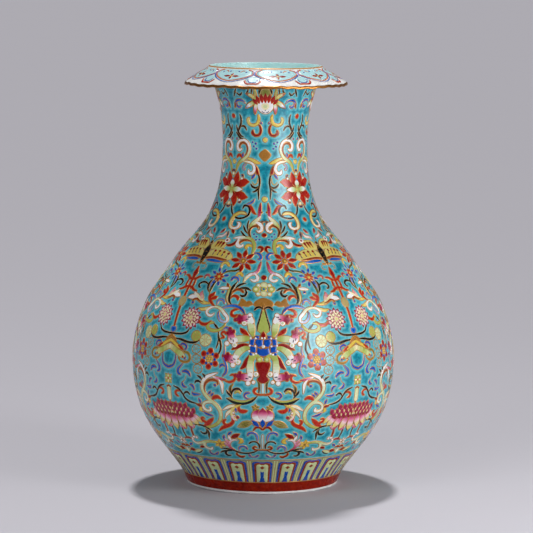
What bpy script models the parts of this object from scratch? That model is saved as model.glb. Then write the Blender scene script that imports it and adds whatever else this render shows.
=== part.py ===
"""A tall porcelain baluster vase with a wide foliate mouth flange.

The vase stands on z = 0 with its axis on Z, and -Y is its front.  The body is
five thrown sections luted end to end.  The glaze and enamel coats and the
gilded lines that have an edge of their own are separate thin rings, seated in
shallow rebates or lying inside the wall.  Outlines are in millimetres, and the
meshes are in metres.
"""

import math

import bmesh
import bpy

MM = 0.001                   # metres in a millimetre

# Driving dimensions, in millimetres
HEIGHT = 350.0               # foot to mouth
FOOT_RADIUS = 62.4           # outside of the foot rim on the table
BELLY_RADIUS = 109.4         # widest point
BELLY_HEIGHT = 106.0
NECK_RADIUS = 35.2           # narrowest point
NECK_HEIGHT = 284.0
MOUTH_RADIUS = 46.2          # middle of the gilded line round the mouth
FLANGE_RADIUS = 68.3         # outermost point of the mouth flange
WALL = 4.5                   # porcelain wall, measured level
SEAM = 0.3                   # gap kept between neighbouring pieces
COAT = 0.6                   # thickness of a glaze or enamel coat
REBATE = SEAM + COAT         # depth of a seat that a coat lies in

# Heights of the bands at the foot and of the seams between sections
FOOT_RIM_TOP = 1.3           # bare rim that the vase stands on
FOOT_RING_MIDDLE = 6.0
FOOT_RING_TOP = 11.0
FOOT_RING_INSIDE = 56.5      # radius of the ring's bore at its rim
FOOT_RING_LEAN = 1.2         # how much wider the bore is at its top
FOOT_RING_BEVEL = 0.6        # bevel between the bore and the flat rim
BASE_GLAZE_RADIUS = 57.3     # coat under the floor, clear of the bore
GILT_LINE = 0.8              # width of a gilded line
GILT_PROUD = 0.15            # how far the gilded foot line stands out
LINE_SETBACK = 0.1           # foot line below the top of the ring
EASE = 0.4                   # small bevel on an outer edge
LAPPET_TOP = 31.0            # top of the border of lappets above the foot
FLOOR_TOP = 17.0             # inside floor of the belly
SHOULDER_SEAM = BELLY_HEIGHT
NECK_SEAM = 228.0
MOUTH_SEAM = 328.0

# Facets of a turned piece, and the lobes of the flange
SEGMENTS = 48
LOBES = 9
LOBE_SEGMENTS = 72           # a whole number of facets in each lobe
LOBE_CENTRE = math.radians(-80.0)
LOBE_DEPTH = 1.0             # how far the edge draws in between two lobes

# Outer profile: height, radius, and radius gained for each mm of height
PROFILE = (
    (0.0, FOOT_RADIUS, 0.45),
    (14.0, 69.0, 0.68),
    (52.0, 96.4, 0.55),
    (BELLY_HEIGHT, BELLY_RADIUS, 0.0),
    (148.0, 100.2, -0.39),
    (190.0, 73.7, -0.68),
    (228.0, 45.5, -0.46),
    (NECK_HEIGHT, NECK_RADIUS, 0.0),
    (340.0, 45.2, 0.42),
)

# Heights at which each section's curve is sampled
LOWER_HEIGHTS = (34.0, 44.0, 55.0, 67.0, 80.0, 93.0)
UPPER_HEIGHTS = (126.0, 148.0, 169.0, 190.0, 209.0)
NECK_HEIGHTS = (242.0, 260.0, 284.0, 306.0)
BAND_HEIGHTS = (16.0, 21.0, 26.0)

# Middle of the flange's upper face: radius and height
FLANGE_TOP = ((49.5, 347.0), (55.5, 343.8), (60.0, 341.0), (64.8, 338.1))
FLANGE_EDGE_LOW = 334.0
FLANGE_EDGE_HIGH = 335.9
FLANGE_ROOT = 338.6          # where the flange's underside leaves the neck
FLANGE_BELOW = (56.0, 336.4) # middle of the flange's underside
FLANGE_LOBE_START = 50.0     # radius where the lobes begin to show

# Heights at which the curve below the flange and inside the mouth is sampled
THROAT_OUTSIDE = 333.0
THROAT_INSIDE = 338.0

# Gilding on the edge and on the lip of the mouth
EDGE_SLOPE = 0.2             # fall of its upper face, each side of FLANGE_EDGE_HIGH
LIP_SHOULDER = 1.3           # porcelain outside the middle of the lip line
LIP_SECTION = ((-0.7, 0.0), (0.9, 0.0), (0.4, GILT_LINE), (-0.4, GILT_LINE))

# Floor of the belly, from the axis to the start of the wall
FLOOR = ((0.0, FLOOR_TOP), (48.0, FLOOR_TOP + 0.6), (63.5, FLOOR_TOP + 3.6))
WALL_START = 27.0            # height where the wall rises out of the floor
SHARP_ANGLE = 40.0           # degrees between faces that meet at a crisp edge


def outer_radius(height):
    """Radius of the outer surface: a smooth cubic between the profile's stations."""
    low = max(i for i, station in enumerate(PROFILE[:-1]) if station[0] <= height)
    (z0, r0, slope0), (z1, r1, slope1) = PROFILE[low], PROFILE[low + 1]
    if height >= z1:
        return r1 + slope1 * (height - z1)
    span = z1 - z0
    t = (height - z0) / span
    return (
        (2 * t**3 - 3 * t**2 + 1) * r0
        + (t**3 - 2 * t**2 + t) * span * slope0
        + (3 * t**2 - 2 * t**3) * r1
        + (t**3 - t**2) * span * slope1
    )


def outside(heights, inset=0.0):
    """Points up the outer surface, drawn in by inset."""
    return [(outer_radius(z) - inset, z) for z in heights]


def inside(heights, inset=0.0):
    """Points down the inner surface of the wall, drawn in by inset."""
    return [(outer_radius(z) - WALL - inset, z) for z in reversed(heights)]


def material(name, colour, roughness, metallic=0.0, coat=0.0):
    """A plain finish: colour, roughness, and a clear coat for glaze."""
    finish = bpy.data.materials.new(name)
    finish.use_nodes = True
    shader = finish.node_tree.nodes["Principled BSDF"]
    shader.inputs["Base Color"].default_value = (*colour, 1.0)
    shader.inputs["Roughness"].default_value = roughness
    shader.inputs["Metallic"].default_value = metallic
    shader.inputs["Coat Weight"].default_value = coat
    return finish


def lobe_offset(radius, angle):
    """How far the foliate flange is drawn in at this radius and angle."""
    reach = (radius - FLANGE_LOBE_START) / (FLANGE_RADIUS - FLANGE_LOBE_START)
    arch = abs(math.cos(0.5 * LOBES * (angle - LOBE_CENTRE)))
    return LOBE_DEPTH * max(0.0, reach) * (1.0 - arch)


def ring(mesh, radius, height, segments, foliate):
    """One level ring of vertices, or a single vertex on the axis."""
    if radius == 0.0:
        return [mesh.verts.new((0.0, 0.0, height * MM))]
    points = []
    for step in range(segments):
        angle = math.tau * step / segments
        reach = radius - (lobe_offset(radius, angle) if foliate else 0.0)
        place = (reach * math.cos(angle), reach * math.sin(angle), height)
        points.append(mesh.verts.new([value * MM for value in place]))
    return points


def join_rings(mesh, first, second, segments):
    """Faces between two neighbouring rings; a ring of one vertex makes a fan."""
    for step in range(segments):
        after = (step + 1) % segments
        if len(first) == 1:
            corners = (first[0], second[after], second[step])
        elif len(second) == 1:
            corners = (first[step], first[after], second[0])
        else:
            corners = (first[step], first[after], second[after], second[step])
        mesh.faces.new(corners)


def turned(name, section, finish, parent, segments=SEGMENTS, foliate=False):
    """A solid turned from a section of (radius, height) points.

    A section that starts and ends on the axis makes a disc or a bowl.  Any
    other section is closed back to its first point and makes a ring.
    """
    mesh = bmesh.new()
    rings = [ring(mesh, radius, height, segments, foliate) for radius, height in section]
    pairs = list(zip(rings, rings[1:]))
    if len(rings[0]) > 1:
        pairs.append((rings[-1], rings[0]))
    for first, second in pairs:
        join_rings(mesh, first, second, segments)
    bmesh.ops.recalc_face_normals(mesh, faces=mesh.faces)
    data = bpy.data.meshes.new(name)
    mesh.to_mesh(data)
    mesh.free()
    data.shade_smooth()
    data.set_sharp_from_angle(angle=math.radians(SHARP_ANGLE))
    data.materials.append(finish)
    piece = bpy.data.objects.new(name, data)
    bpy.context.collection.objects.link(piece)
    piece.parent = parent
    return piece


def foot_ring(parent, porcelain):
    """The turned foot: a bare flat rim, then a seat for the red band and gilt line."""
    rim = outer_radius(FOOT_RIM_TOP)
    seat = outside((FOOT_RIM_TOP, FOOT_RING_MIDDLE, FOOT_RING_TOP), REBATE)
    section = [
        (FOOT_RING_INSIDE + FOOT_RING_BEVEL, 0.0),
        (FOOT_RADIUS - EASE, 0.0),
        (FOOT_RADIUS, EASE),
        (rim, FOOT_RIM_TOP),
        *seat,
        (FOOT_RING_INSIDE + FOOT_RING_LEAN, FOOT_RING_TOP),
        (FOOT_RING_INSIDE, FOOT_RING_BEVEL),
    ]
    return turned("foot_ring", section, porcelain, parent)


def coat_ring(name, low, high, between, finish, parent, proud=0.0):
    """A coat on the outside of the body, from low to high, in its rebate."""
    heights = (low, *between, high)
    face = outside(heights, -proud)
    back = [(outer_radius(z) - COAT, z) for z in reversed(heights)]
    return turned(name, face + back, finish, parent)


def lower_body(parent, porcelain):
    """The bowl of the belly with its floor, up to its widest point."""
    bottom = FOOT_RING_TOP + SEAM
    seat_top = LAPPET_TOP + SEAM
    seat = outside((bottom, *BAND_HEIGHTS, seat_top), REBATE)
    curve = outside((seat_top, *LOWER_HEIGHTS, SHOULDER_SEAM))
    hollow = inside((WALL_START, *LOWER_HEIGHTS, SHOULDER_SEAM))
    section = [(0.0, bottom), *seat, *curve, *hollow, *reversed(FLOOR)]
    return turned("lower_body", section, porcelain, parent)


def body_section(name, low, between, high, porcelain, parent):
    """A thrown tube of the body with level, luted ends."""
    heights = (low, *between, high)
    return turned(name, outside(heights) + inside(heights), porcelain, parent)


def mouth_flange(parent, porcelain):
    """The top of the neck with the foliate flange that stands out round the mouth."""
    low = MOUTH_SEAM + SEAM
    seat = HEIGHT - GILT_LINE - SEAM
    edge = FLANGE_RADIUS - REBATE
    section = [
        *outside((low, THROAT_OUTSIDE, FLANGE_ROOT)),
        FLANGE_BELOW,
        (edge, FLANGE_EDGE_LOW + EDGE_SLOPE),
        (edge, FLANGE_EDGE_HIGH),
        *reversed(FLANGE_TOP),
        (MOUTH_RADIUS + LIP_SHOULDER, seat),
        *inside((low, THROAT_INSIDE, seat)),
    ]
    return turned("mouth_flange", section, porcelain, parent, LOBE_SEGMENTS, foliate=True)


def interior_glaze(parent, glaze):
    """The turquoise coat that lines the floor, the belly and the neck."""
    top = HEIGHT - GILT_LINE - SEAM
    heights = (
        WALL_START, *LOWER_HEIGHTS, SHOULDER_SEAM, *UPPER_HEIGHTS, NECK_SEAM,
        *NECK_HEIGHTS, MOUTH_SEAM, THROAT_INSIDE, top,
    )
    back = list(reversed(inside(heights, SEAM)))
    face = inside(heights, REBATE)
    floor_back = [(max(0.0, r - SEAM), z + SEAM) for r, z in FLOOR]
    floor_face = [(max(0.0, r - REBATE), z + REBATE) for r, z in reversed(FLOOR)]
    return turned("interior_glaze", floor_back + back + face + floor_face, glaze, parent)


def base_glaze(parent, glaze):
    """The coat on the underside of the floor, inside the foot ring."""
    high = FOOT_RING_TOP
    low = high - COAT
    reach = BASE_GLAZE_RADIUS
    section = [(0.0, low), (reach, low), (reach, high), (0.0, high)]
    return turned("base_glaze", section, glaze, parent)


def gilt_rim(parent, gold):
    """The gilding round the foliate edge of the flange."""
    section = [
        (FLANGE_RADIUS - COAT, FLANGE_EDGE_LOW),
        (FLANGE_RADIUS, FLANGE_EDGE_LOW + EASE),
        (FLANGE_RADIUS, FLANGE_EDGE_HIGH - EDGE_SLOPE),
        (FLANGE_RADIUS - COAT, FLANGE_EDGE_HIGH + EDGE_SLOPE),
    ]
    return turned("gilt_rim", section, gold, parent, LOBE_SEGMENTS, foliate=True)


def gilt_mouth_line(parent, gold):
    """The gilded line on the lip of the mouth."""
    low = HEIGHT - GILT_LINE
    section = [(MOUTH_RADIUS + out, low + up) for out, up in LIP_SECTION]
    return turned("gilt_mouth_line", section, gold, parent, LOBE_SEGMENTS)


def build():
    for old in list(bpy.data.objects):
        bpy.data.objects.remove(old, do_unlink=True)
    vase = bpy.data.objects.new("vase", None)
    bpy.context.collection.objects.link(vase)

    turquoise = material("turquoise_ground", (0.055, 0.43, 0.47), 0.22, coat=0.6)
    white = material("white_porcelain", (0.80, 0.80, 0.78), 0.25, coat=0.5)
    red = material("iron_red_enamel", (0.36, 0.045, 0.025), 0.30, coat=0.4)
    lappets = material("lappet_enamel", (0.42, 0.50, 0.38), 0.28, coat=0.4)
    gold = material("gilding", (0.62, 0.42, 0.16), 0.32, metallic=1.0)

    foot_ring(vase, white)
    lower_body(vase, turquoise)
    body_section("upper_body", SHOULDER_SEAM + SEAM, UPPER_HEIGHTS,
                 NECK_SEAM - SEAM, turquoise, vase)
    body_section("neck", NECK_SEAM, NECK_HEIGHTS, MOUTH_SEAM, turquoise, vase)
    mouth_flange(vase, white)
    interior_glaze(vase, turquoise)
    base_glaze(vase, turquoise)

    line_high = FOOT_RING_TOP - LINE_SETBACK
    line_low = line_high - GILT_LINE
    coat_ring("red_foot_band", FOOT_RIM_TOP + SEAM, line_low - SEAM, (FOOT_RING_MIDDLE,),
              red, vase)
    coat_ring("gilt_foot_line", line_low, line_high, (), gold, vase, proud=GILT_PROUD)
    coat_ring("lappet_band", FOOT_RING_TOP + 2 * SEAM, LAPPET_TOP, BAND_HEIGHTS,
              lappets, vase)
    gilt_rim(vase, gold)
    gilt_mouth_line(vase, gold)


build()
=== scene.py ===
"""Studio view of the enamelled porcelain vase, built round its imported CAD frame.

The turned porcelain, its glazes and its gilding are dense meshes that stand for
the CAD nodes.  The painted decoration is thick enamel in low relief: each brush
stroke is a small closed body, rounded on top, with a raised gilt outline.

Places on the vase are given as (angle, run).  The angle is in degrees round the
axis from the front, positive to the right, and the run is in millimetres along
the outer profile, measured up from the foot.
"""
import math

import bpy
import numpy as np
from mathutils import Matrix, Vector
from mathutils.kdtree import KDTree


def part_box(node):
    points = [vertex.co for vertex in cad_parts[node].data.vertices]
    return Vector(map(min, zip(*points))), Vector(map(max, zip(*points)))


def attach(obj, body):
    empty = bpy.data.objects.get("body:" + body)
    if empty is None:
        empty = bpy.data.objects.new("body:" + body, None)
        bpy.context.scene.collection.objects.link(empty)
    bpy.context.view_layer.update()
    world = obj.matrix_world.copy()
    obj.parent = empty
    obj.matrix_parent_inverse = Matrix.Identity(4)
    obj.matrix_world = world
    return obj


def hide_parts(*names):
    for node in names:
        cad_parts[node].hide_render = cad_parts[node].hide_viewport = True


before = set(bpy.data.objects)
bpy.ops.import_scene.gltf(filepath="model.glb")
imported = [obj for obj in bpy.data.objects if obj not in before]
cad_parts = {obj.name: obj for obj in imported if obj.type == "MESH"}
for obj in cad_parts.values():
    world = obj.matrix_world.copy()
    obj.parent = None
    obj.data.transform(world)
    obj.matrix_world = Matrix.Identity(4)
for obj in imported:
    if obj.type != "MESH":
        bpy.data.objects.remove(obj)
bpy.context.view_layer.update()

MM = 0.001

# The painting, in millimetres
GILT = 0.98                  # width of the gilt outline round a stroke
DARK_GILT = 0.42             # the same, for the dark stalks and leaves
TAKEN = 0.18                 # how much of a stroke's half-width its outline takes
DARK_TAKEN = 0.06            # the same, for a dark stroke
THINNEST = 0.12              # least half-width of a stroke
RELIEF = 0.17                # height of the enamel over the ground
SHOULDER = 0.55              # height of a stroke's shoulders, as a share of its relief
SINK = 0.04                  # how far a stroke's skirt runs into the ground
STEP = 1.3                   # spacing of the cross-sections along a stroke
RING_STEP = 1.6              # spacing of the rings inside a filled shape
SMALL_DOT = 1.3              # radius under which a dot has eight sides
MM_PER_DEGREE = 1.6          # round the vase, where an average will do
HALFWAY = 45.0               # degrees from a motif's centre to the next mirror line
HALO = 2.1                   # how far the ground stays pale round a stroke
HALO_FADE = 1.3              # power of the halo's fading: over 1, it fades faster at first
BLENDS = 3                   # steps between two tones of a stroke

# The turned body, in millimetres
FACETS = 192                 # facets round a plain turned piece
FINE_FACETS = 576            # facets round a piece that carries the painted ground
SHARP_ANGLE = 38.0           # degrees between faces that meet at a crisp edge
WALL = 4.5                   # porcelain, measured level
COAT = 0.6                   # glaze or enamel that has its own solid
FLANGE_RADIUS = 68.3
FLANGE_LOBES = 9
FLANGE_CENTRE = 10.0         # angle of the first flange lobe from the front
LOBES_START = 50.0           # radius where the flange's lobes begin to show
RIPPLE_START = 60.0          # radius where its edge begins to rise and fall
LOBE_WAVE = 0.38             # how far the edge rises and falls with each lobe
FINE_WAVE = 0.34             # the same, four times for each lobe

# Outer profile: height, radius, and radius gained for each mm of height
PROFILE = np.array((
    (0.0, 62.4, 0.45),
    (14.0, 69.0, 0.68),
    (52.0, 96.4, 0.55),
    (106.0, 109.4, 0.0),
    (148.0, 100.2, -0.39),
    (190.0, 73.7, -0.68),
    (228.0, 45.5, -0.46),
    (284.0, 35.2, 0.0),
    (340.0, 45.2, 0.42),
))


def seam(below, above):
    """Height of the middle of the gap between two CAD nodes, in mm."""
    return 0.5 * (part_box(below)[1].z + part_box(above)[0].z) / MM


FOOT_TOP = seam("foot_ring", "lower_body")
SHOULDER_SEAM = seam("lower_body", "upper_body")
NECK_SEAM = seam("upper_body", "neck")
MOUTH_SEAM = seam("neck", "mouth_flange")
LAPPETS_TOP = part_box("lappet_band")[1].z / MM


def outer_radius(height):
    """Radius of the outer surface: a smooth cubic between the profile's stations."""
    height = np.asarray(height, float)
    low = np.clip(np.searchsorted(PROFILE[:, 0], height, side="right") - 1, 0, len(PROFILE) - 2)
    z0, r0, slope0 = PROFILE[low].T
    z1, r1, slope1 = PROFILE[low + 1].T
    span = z1 - z0
    t = np.clip((height - z0) / span, 0.0, 1.0)
    curve = (
        (2 * t**3 - 3 * t**2 + 1) * r0
        + (t**3 - 2 * t**2 + t) * span * slope0
        + (3 * t**2 - 2 * t**3) * r1
        + (t**3 - t**2) * span * slope1
    )
    return curve + np.maximum(height - z1, 0.0) * slope1


def lobe_offset(radius, angle):
    """How far the foliate flange is drawn in at this radius and angle."""
    reach = np.clip((radius - LOBES_START) / (FLANGE_RADIUS - LOBES_START), 0.0, 1.0)
    arch = np.abs(np.cos(0.5 * FLANGE_LOBES * np.radians(angle - FLANGE_CENTRE)))
    return reach * (1.0 - arch)


def lobe_ripple(radius, angle):
    """The small rise and fall of the flange's cut edge."""
    reach = np.clip((radius - RIPPLE_START) / (FLANGE_RADIUS - RIPPLE_START), 0.0, 1.0)
    waves = np.radians(angle - FLANGE_CENTRE) * FLANGE_LOBES
    return reach**2 * (FINE_WAVE * np.cos(4.0 * waves) + LOBE_WAVE * np.cos(waves))


def round_axis(reach, height, angle, foliate):
    """Points in metres at these radii, heights and angles, drawn in where it is foliate."""
    if foliate:
        reach = reach - lobe_offset(reach, angle)
        height = height + lobe_ripple(reach, angle)
    turn = np.radians(angle)
    return np.stack([reach * np.sin(turn), -reach * np.cos(turn), height], -1) * MM


class Surface:
    """A turned surface that strokes are laid on, followed by its run in mm."""

    def __init__(self, radii, heights, foliate=False):
        steps = np.hypot(np.diff(radii), np.diff(heights))
        self.runs = np.concatenate([[0.0], np.cumsum(steps)])
        self.radii = radii
        self.heights = heights
        self.foliate = foliate
        along_r = np.gradient(radii, self.runs)
        along_z = np.gradient(heights, self.runs)
        length = np.hypot(along_r, along_z)
        self.out_r = along_z / length
        self.out_z = -along_r / length

    def read(self, values, run):
        """One of the surface's measures at this run."""
        return np.interp(run, self.runs, values)

    def width_of_degree(self, run):
        """Millimetres round the surface for each degree at this run."""
        return np.radians(self.read(self.radii, run))

    def place(self, angle, run, lift):
        """Points in metres at these angles and runs, lifted along the normal."""
        reach = self.read(self.radii, run) + lift * self.read(self.out_r, run)
        height = self.read(self.heights, run) + lift * self.read(self.out_z, run)
        return round_axis(reach, height, angle, self.foliate)


# The flange's upper face, from its lip by the mouth out to its edge
FLANGE_TOP = ((47.4, 348.9), (48.6, 347.7), (50.2, 346.6), (52.8, 345.2), (55.5, 343.8),
              (58.0, 342.3), (60.0, 341.0), (62.4, 339.5), (64.8, 338.1), (66.2, 337.1),
              (67.3, 336.1))

body_heights = np.linspace(0.0, 345.0, 1381)     # every 0.25 mm
BODY = Surface(outer_radius(body_heights), body_heights)
FLANGE = Surface(*np.array(FLANGE_TOP[::-1]).T, foliate=True)


# ---------------------------------------------------------------- materials

# Enamel colours, as they look in even white light (0 to 255)
TONES = {
    "iron_red": (184, 34, 10),
    "crimson": (142, 7, 4),
    "rust": (150, 58, 22),
    "magenta": (150, 14, 62),
    "pink": (214, 96, 138),
    "pale_pink": (240, 200, 208),
    "white": (244, 242, 240),
    "cream": (240, 230, 184),
    "yellow": (226, 196, 78),
    "butter": (220, 206, 120),
    "lime": (172, 186, 90),
    "pale_green": (208, 220, 164),
    "olive": (122, 126, 46),
    "tan": (184, 164, 106),
    "ochre": (168, 114, 44),
    "black": (12, 11, 5),
    "dark_green": (10, 34, 26),
    "brown": (52, 30, 10),
    "navy": (4, 30, 92),
    "blue": (0, 78, 178),
    "sky": (44, 116, 206),
    "lilac": (118, 150, 208),
    "violet": (16, 78, 172),
    "coral": (204, 104, 70),
    "pale_turquoise": (176, 220, 224),
}
DARK_TONES = ("black", "dark_green", "brown")
GOLD = (198, 138, 64)
BURNISHED = (152, 100, 44)


def linear(colour):
    """An 8-bit display colour as linear light, with full alpha."""
    share = np.asarray(colour, float) / 255.0
    low, high = share / 12.92, ((share + 0.055) / 1.055) ** 2.4
    return (*np.where(share <= 0.04045, low, high).tolist(), 1.0)


def link(tree, source, target):
    """Joins two sockets of a material."""
    tree.links.new(source, target)


def node(tree, kind, **values):
    """A shader node with its sockets set by name (underscores stand for spaces)."""
    made = tree.nodes.new(kind)
    for key, value in values.items():
        made.inputs[key.replace("_", " ")].default_value = value
    return made


def principled(name, **values):
    """A material with one Principled shader; returns it with its tree and shader."""
    finish = bpy.data.materials.new(name)
    finish.use_nodes = True
    tree = finish.node_tree
    shader = tree.nodes["Principled BSDF"]
    for key, value in values.items():
        shader.inputs[key.replace("_", " ")].default_value = value
    return finish, tree, shader


def noise(tree, scale, detail, roughness=0.55):
    """Noise in object space, so that it doesn't need a texture map."""
    place = node(tree, "ShaderNodeTexCoord")
    made = node(tree, "ShaderNodeTexNoise", Scale=scale, Detail=detail, Roughness=roughness)
    link(tree, place.outputs["Object"], made.inputs["Vector"])
    return made


def vary_roughness(tree, shader, scale, low, high):
    """Roughness that drifts between two values, as a fired glaze has."""
    field = noise(tree, scale, 2.0)
    band = node(tree, "ShaderNodeMapRange", From_Min=0.3, From_Max=0.7, To_Min=low, To_Max=high)
    link(tree, field.outputs["Fac"], band.inputs["Value"])
    link(tree, band.outputs["Result"], shader.inputs["Roughness"])


def ripple(tree, shader, scale, strength, distance):
    """A fine uneven surface."""
    field = noise(tree, scale, 4.0)
    bump = node(tree, "ShaderNodeBump", Strength=strength, Distance=distance)
    link(tree, field.outputs["Fac"], bump.inputs["Height"])
    link(tree, bump.outputs["Normal"], shader.inputs["Normal"])


def glaze(name, stops, scale, bump=0.35, pale=None, gloss=0.36):
    """A glaze whose colour pools and thins: stops are (noise value, colour).

    Where the mesh's halo attribute is 1 the glaze is thinned to the pale colour.
    """
    finish, tree, shader = principled(name, Specular_IOR_Level=gloss)
    field = noise(tree, scale, 5.0, 0.62)
    ramp = tree.nodes.new("ShaderNodeValToRGB")
    while len(ramp.color_ramp.elements) < len(stops):
        ramp.color_ramp.elements.new(0.5)
    for element, (position, colour) in zip(ramp.color_ramp.elements, stops):
        element.position = position
        element.color = linear(colour)
    link(tree, field.outputs["Fac"], ramp.inputs["Fac"])
    colour = ramp.outputs["Color"]
    if pale:
        halo = tree.nodes.new("ShaderNodeAttribute")
        halo.attribute_name = "halo"
        blend = tree.nodes.new("ShaderNodeMix")
        blend.data_type = "RGBA"
        blend.inputs["B"].default_value = linear(pale)
        link(tree, halo.outputs["Fac"], blend.inputs["Factor"])
        link(tree, colour, blend.inputs["A"])
        colour = blend.outputs["Result"]
    link(tree, colour, shader.inputs["Base Color"])
    vary_roughness(tree, shader, 90.0, 0.20, 0.34)
    ripple(tree, shader, 420.0, bump, 0.00012)
    return finish


def enamel(name, colour):
    """An opaque, glossy painted enamel of one colour with a pooled, uneven surface."""
    finish, tree, shader = principled("enamel_" + name, Base_Color=linear(colour),
                                      Specular_IOR_Level=0.3)
    vary_roughness(tree, shader, 350.0, 0.18, 0.38)
    ripple(tree, shader, 1500.0, 0.30, 0.00006)
    return finish


def gilding(name, colour, metallic):
    """Gold over enamel, a little rubbed: the thicker it is, the more metallic."""
    finish, tree, shader = principled(name, Base_Color=linear(colour), Metallic=metallic)
    vary_roughness(tree, shader, 600.0, 0.28, 0.50)
    ripple(tree, shader, 1200.0, 0.35, 0.00006)
    return finish


TURQUOISE = ((0.28, (0, 108, 130)), (0.46, (2, 130, 152)), (0.58, (18, 154, 174)),
             (0.74, (52, 182, 198)))
PALE_TURQUOISE = (120, 208, 214)
# Inside glaze: turquoise, lightened almost to white as painted light for the light that falls into
# the mouth
INSIDE_WITH_PAINTED_LIGHT = ((0.30, (188, 244, 242)), (0.5, (206, 250, 248)), (0.70, (218, 252, 250)))
PORCELAIN = ((0.30, (226, 226, 224)), (0.6, (240, 240, 238)), (0.75, (246, 246, 245)))
RED_BAND = ((0.30, (118, 14, 2)), (0.5, (142, 24, 3)), (0.70, (166, 38, 7)))
BAND_GREEN = ((0.30, (140, 160, 100)), (0.5, (160, 172, 112)), (0.70, (176, 186, 130)))

finishes = {name: enamel(name, colour) for name, colour in TONES.items()}
finishes["gold"] = gilding("gilt_line", GOLD, 0.25)
finishes["burnished"] = gilding("gilding", BURNISHED, 0.9)
finishes["turquoise"] = glaze("turquoise_ground", TURQUOISE, 300.0, pale=PALE_TURQUOISE)
finishes["inside"] = glaze("turquoise_inside_with_painted_light", INSIDE_WITH_PAINTED_LIGHT, 180.0)
finishes["porcelain"] = glaze("white_porcelain", PORCELAIN, 140.0, bump=0.2)
finishes["red_band"] = glaze("iron_red_band", RED_BAND, 300.0, gloss=0.15)
finishes["band_green"] = glaze("band_ground", BAND_GREEN, 300.0)


def tone_at(tones, share):
    """The enamel this share of the way through a list of tones, blended in steps."""
    place = share * (len(tones) - 1)
    first = int(place)
    step = round((place - first) * BLENDS)
    one, other = tones[first], tones[min(first + 1, len(tones) - 1)]
    if step == 0 or one == other:
        return one
    if step == BLENDS:
        return other
    name = f"{one}_{step}_{other}"
    if name not in finishes:
        mixed = [a + (b - a) * step / BLENDS for a, b in zip(TONES[one], TONES[other])]
        finishes[name] = enamel(name, mixed)
    return name


# ---------------------------------------------------------------- turned porcelain

AXIS = 0.02                  # a radius that closes a disc without a single point
FLUSH = 0.02                 # how far a coat stands over the surface it covers
RIM_TOP = 2.2                # top of the foot's bare rim
BAND_LOW, BAND_HIGH = 2.3, 10.2
LINE_EDGES = (10.1, 10.95)   # gilt line over the red band


def turned(name, node_name, section, finish, foliate=False, facets=FACETS,
           second=None, second_rows=0):
    """A dense turned body that stands for a CAD node.

    section is a closed run of (radius, height) points in mm, either way round:
    the faces are made to point out afterwards.  A second finish covers the
    first second_rows rows, if it is given.
    """
    radii, heights = np.array(section, float).T
    step = np.arange(facets)
    grid = np.broadcast_arrays(radii[:, None], heights[:, None], step * 360.0 / facets)
    points = round_axis(*grid, foliate).reshape(-1, 3)
    count = len(section)
    after = (step + 1) % facets
    quads = []
    for row in range(count):
        below, above = row * facets, (row + 1) % count * facets
        quads.append(np.stack([below + step, below + after, above + after, above + step], -1))
    mesh = bpy.data.meshes.new(name)
    mesh.from_pydata(points.tolist(), [], np.concatenate(quads).tolist())
    if np.sum(radii * np.roll(heights, -1) - np.roll(radii, -1) * heights) < 0.0:
        mesh.flip_normals()
    mesh.shade_smooth()
    mesh.set_sharp_from_angle(angle=math.radians(SHARP_ANGLE))
    mesh.materials.append(finish)
    if facets == FINE_FACETS:
        shade_round_strokes(mesh)
    if second:
        mesh.materials.append(second)
        rows = np.repeat(np.arange(count) < second_rows, facets)
        mesh.polygons.foreach_set("material_index", rows.astype(int))
    piece = show(name, mesh)
    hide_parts(node_name)


def show(name, mesh):
    """Puts a mesh in the scene as a piece of the vase."""
    piece = bpy.data.objects.new(name, mesh)
    bpy.context.collection.objects.link(piece)
    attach(piece, "root")
    return piece


def shade_round_strokes(mesh):
    """Writes how close each vertex is to a stroke, from 0 far off to 1 at its edge."""
    tree = KDTree(len(stroke_edges))
    for index, spot in enumerate(stroke_edges):
        tree.insert(spot, index)
    tree.balance()
    away = np.array([tree.find(vertex.co)[2] for vertex in mesh.vertices]) / (HALO * MM)
    halo = mesh.attributes.new("halo", "FLOAT", "POINT")
    halo.data.foreach_set("value", np.clip(1.0 - away, 0.0, 1.0) ** HALO_FADE)


def outside(low, high, inset=0.0, spacing=1.2):
    """The outer surface from low to high, drawn in by inset."""
    count = max(2, int((high - low) / spacing) + 1)
    return [(float(outer_radius(z)) - inset, z) for z in np.linspace(low, high, count)]


def inside(low, high, inset=0.0):
    """The inner face of the wall from high down to low, drawn in by inset."""
    return [(r - WALL - inset, z) for r, z in reversed(outside(low, high, spacing=5.0))]


def behind(skin):
    """The points COAT nearer the axis than these, in the opposite order."""
    return [(r - COAT, z) for r, z in reversed(skin)]


def foot():
    """The foot ring with its bare rim, its red band and gilt line, and the base's glaze."""
    ring = [(57.0, 0.0), (62.1, 0.0), (62.7, 0.2), (63.2, 0.7), (63.45, 1.4), (63.5, RIM_TOP)]
    ring += outside(BAND_LOW, FOOT_TOP, 0.5) + [(57.7, FOOT_TOP), (56.5, 0.7), (56.6, 0.2)]
    turned("foot_rim", "foot_ring", ring, finishes["porcelain"])
    band = outside(BAND_LOW, BAND_HIGH, -FLUSH)
    eased_edge = [(band[0][0] - 0.3, BAND_LOW - 0.08)]
    turned("foot_band", "red_foot_band", eased_edge + band + behind(band),
           finishes["red_band"])
    low, high = (float(outer_radius(z)) for z in LINE_EDGES)
    line = [(low - 0.4, LINE_EDGES[0]), (low + 0.12, LINE_EDGES[0] + 0.15),
            (high + 0.12, LINE_EDGES[1] - 0.15), (high - 0.4, LINE_EDGES[1])]
    turned("foot_gilt_line", "gilt_foot_line", line, finishes["gold"])
    disc = [(AXIS, 10.4), (57.3, 10.4), (57.3, 11.0), (AXIS, 11.0)]
    turned("base_coat", "base_glaze", disc, finishes["inside"])


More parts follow.
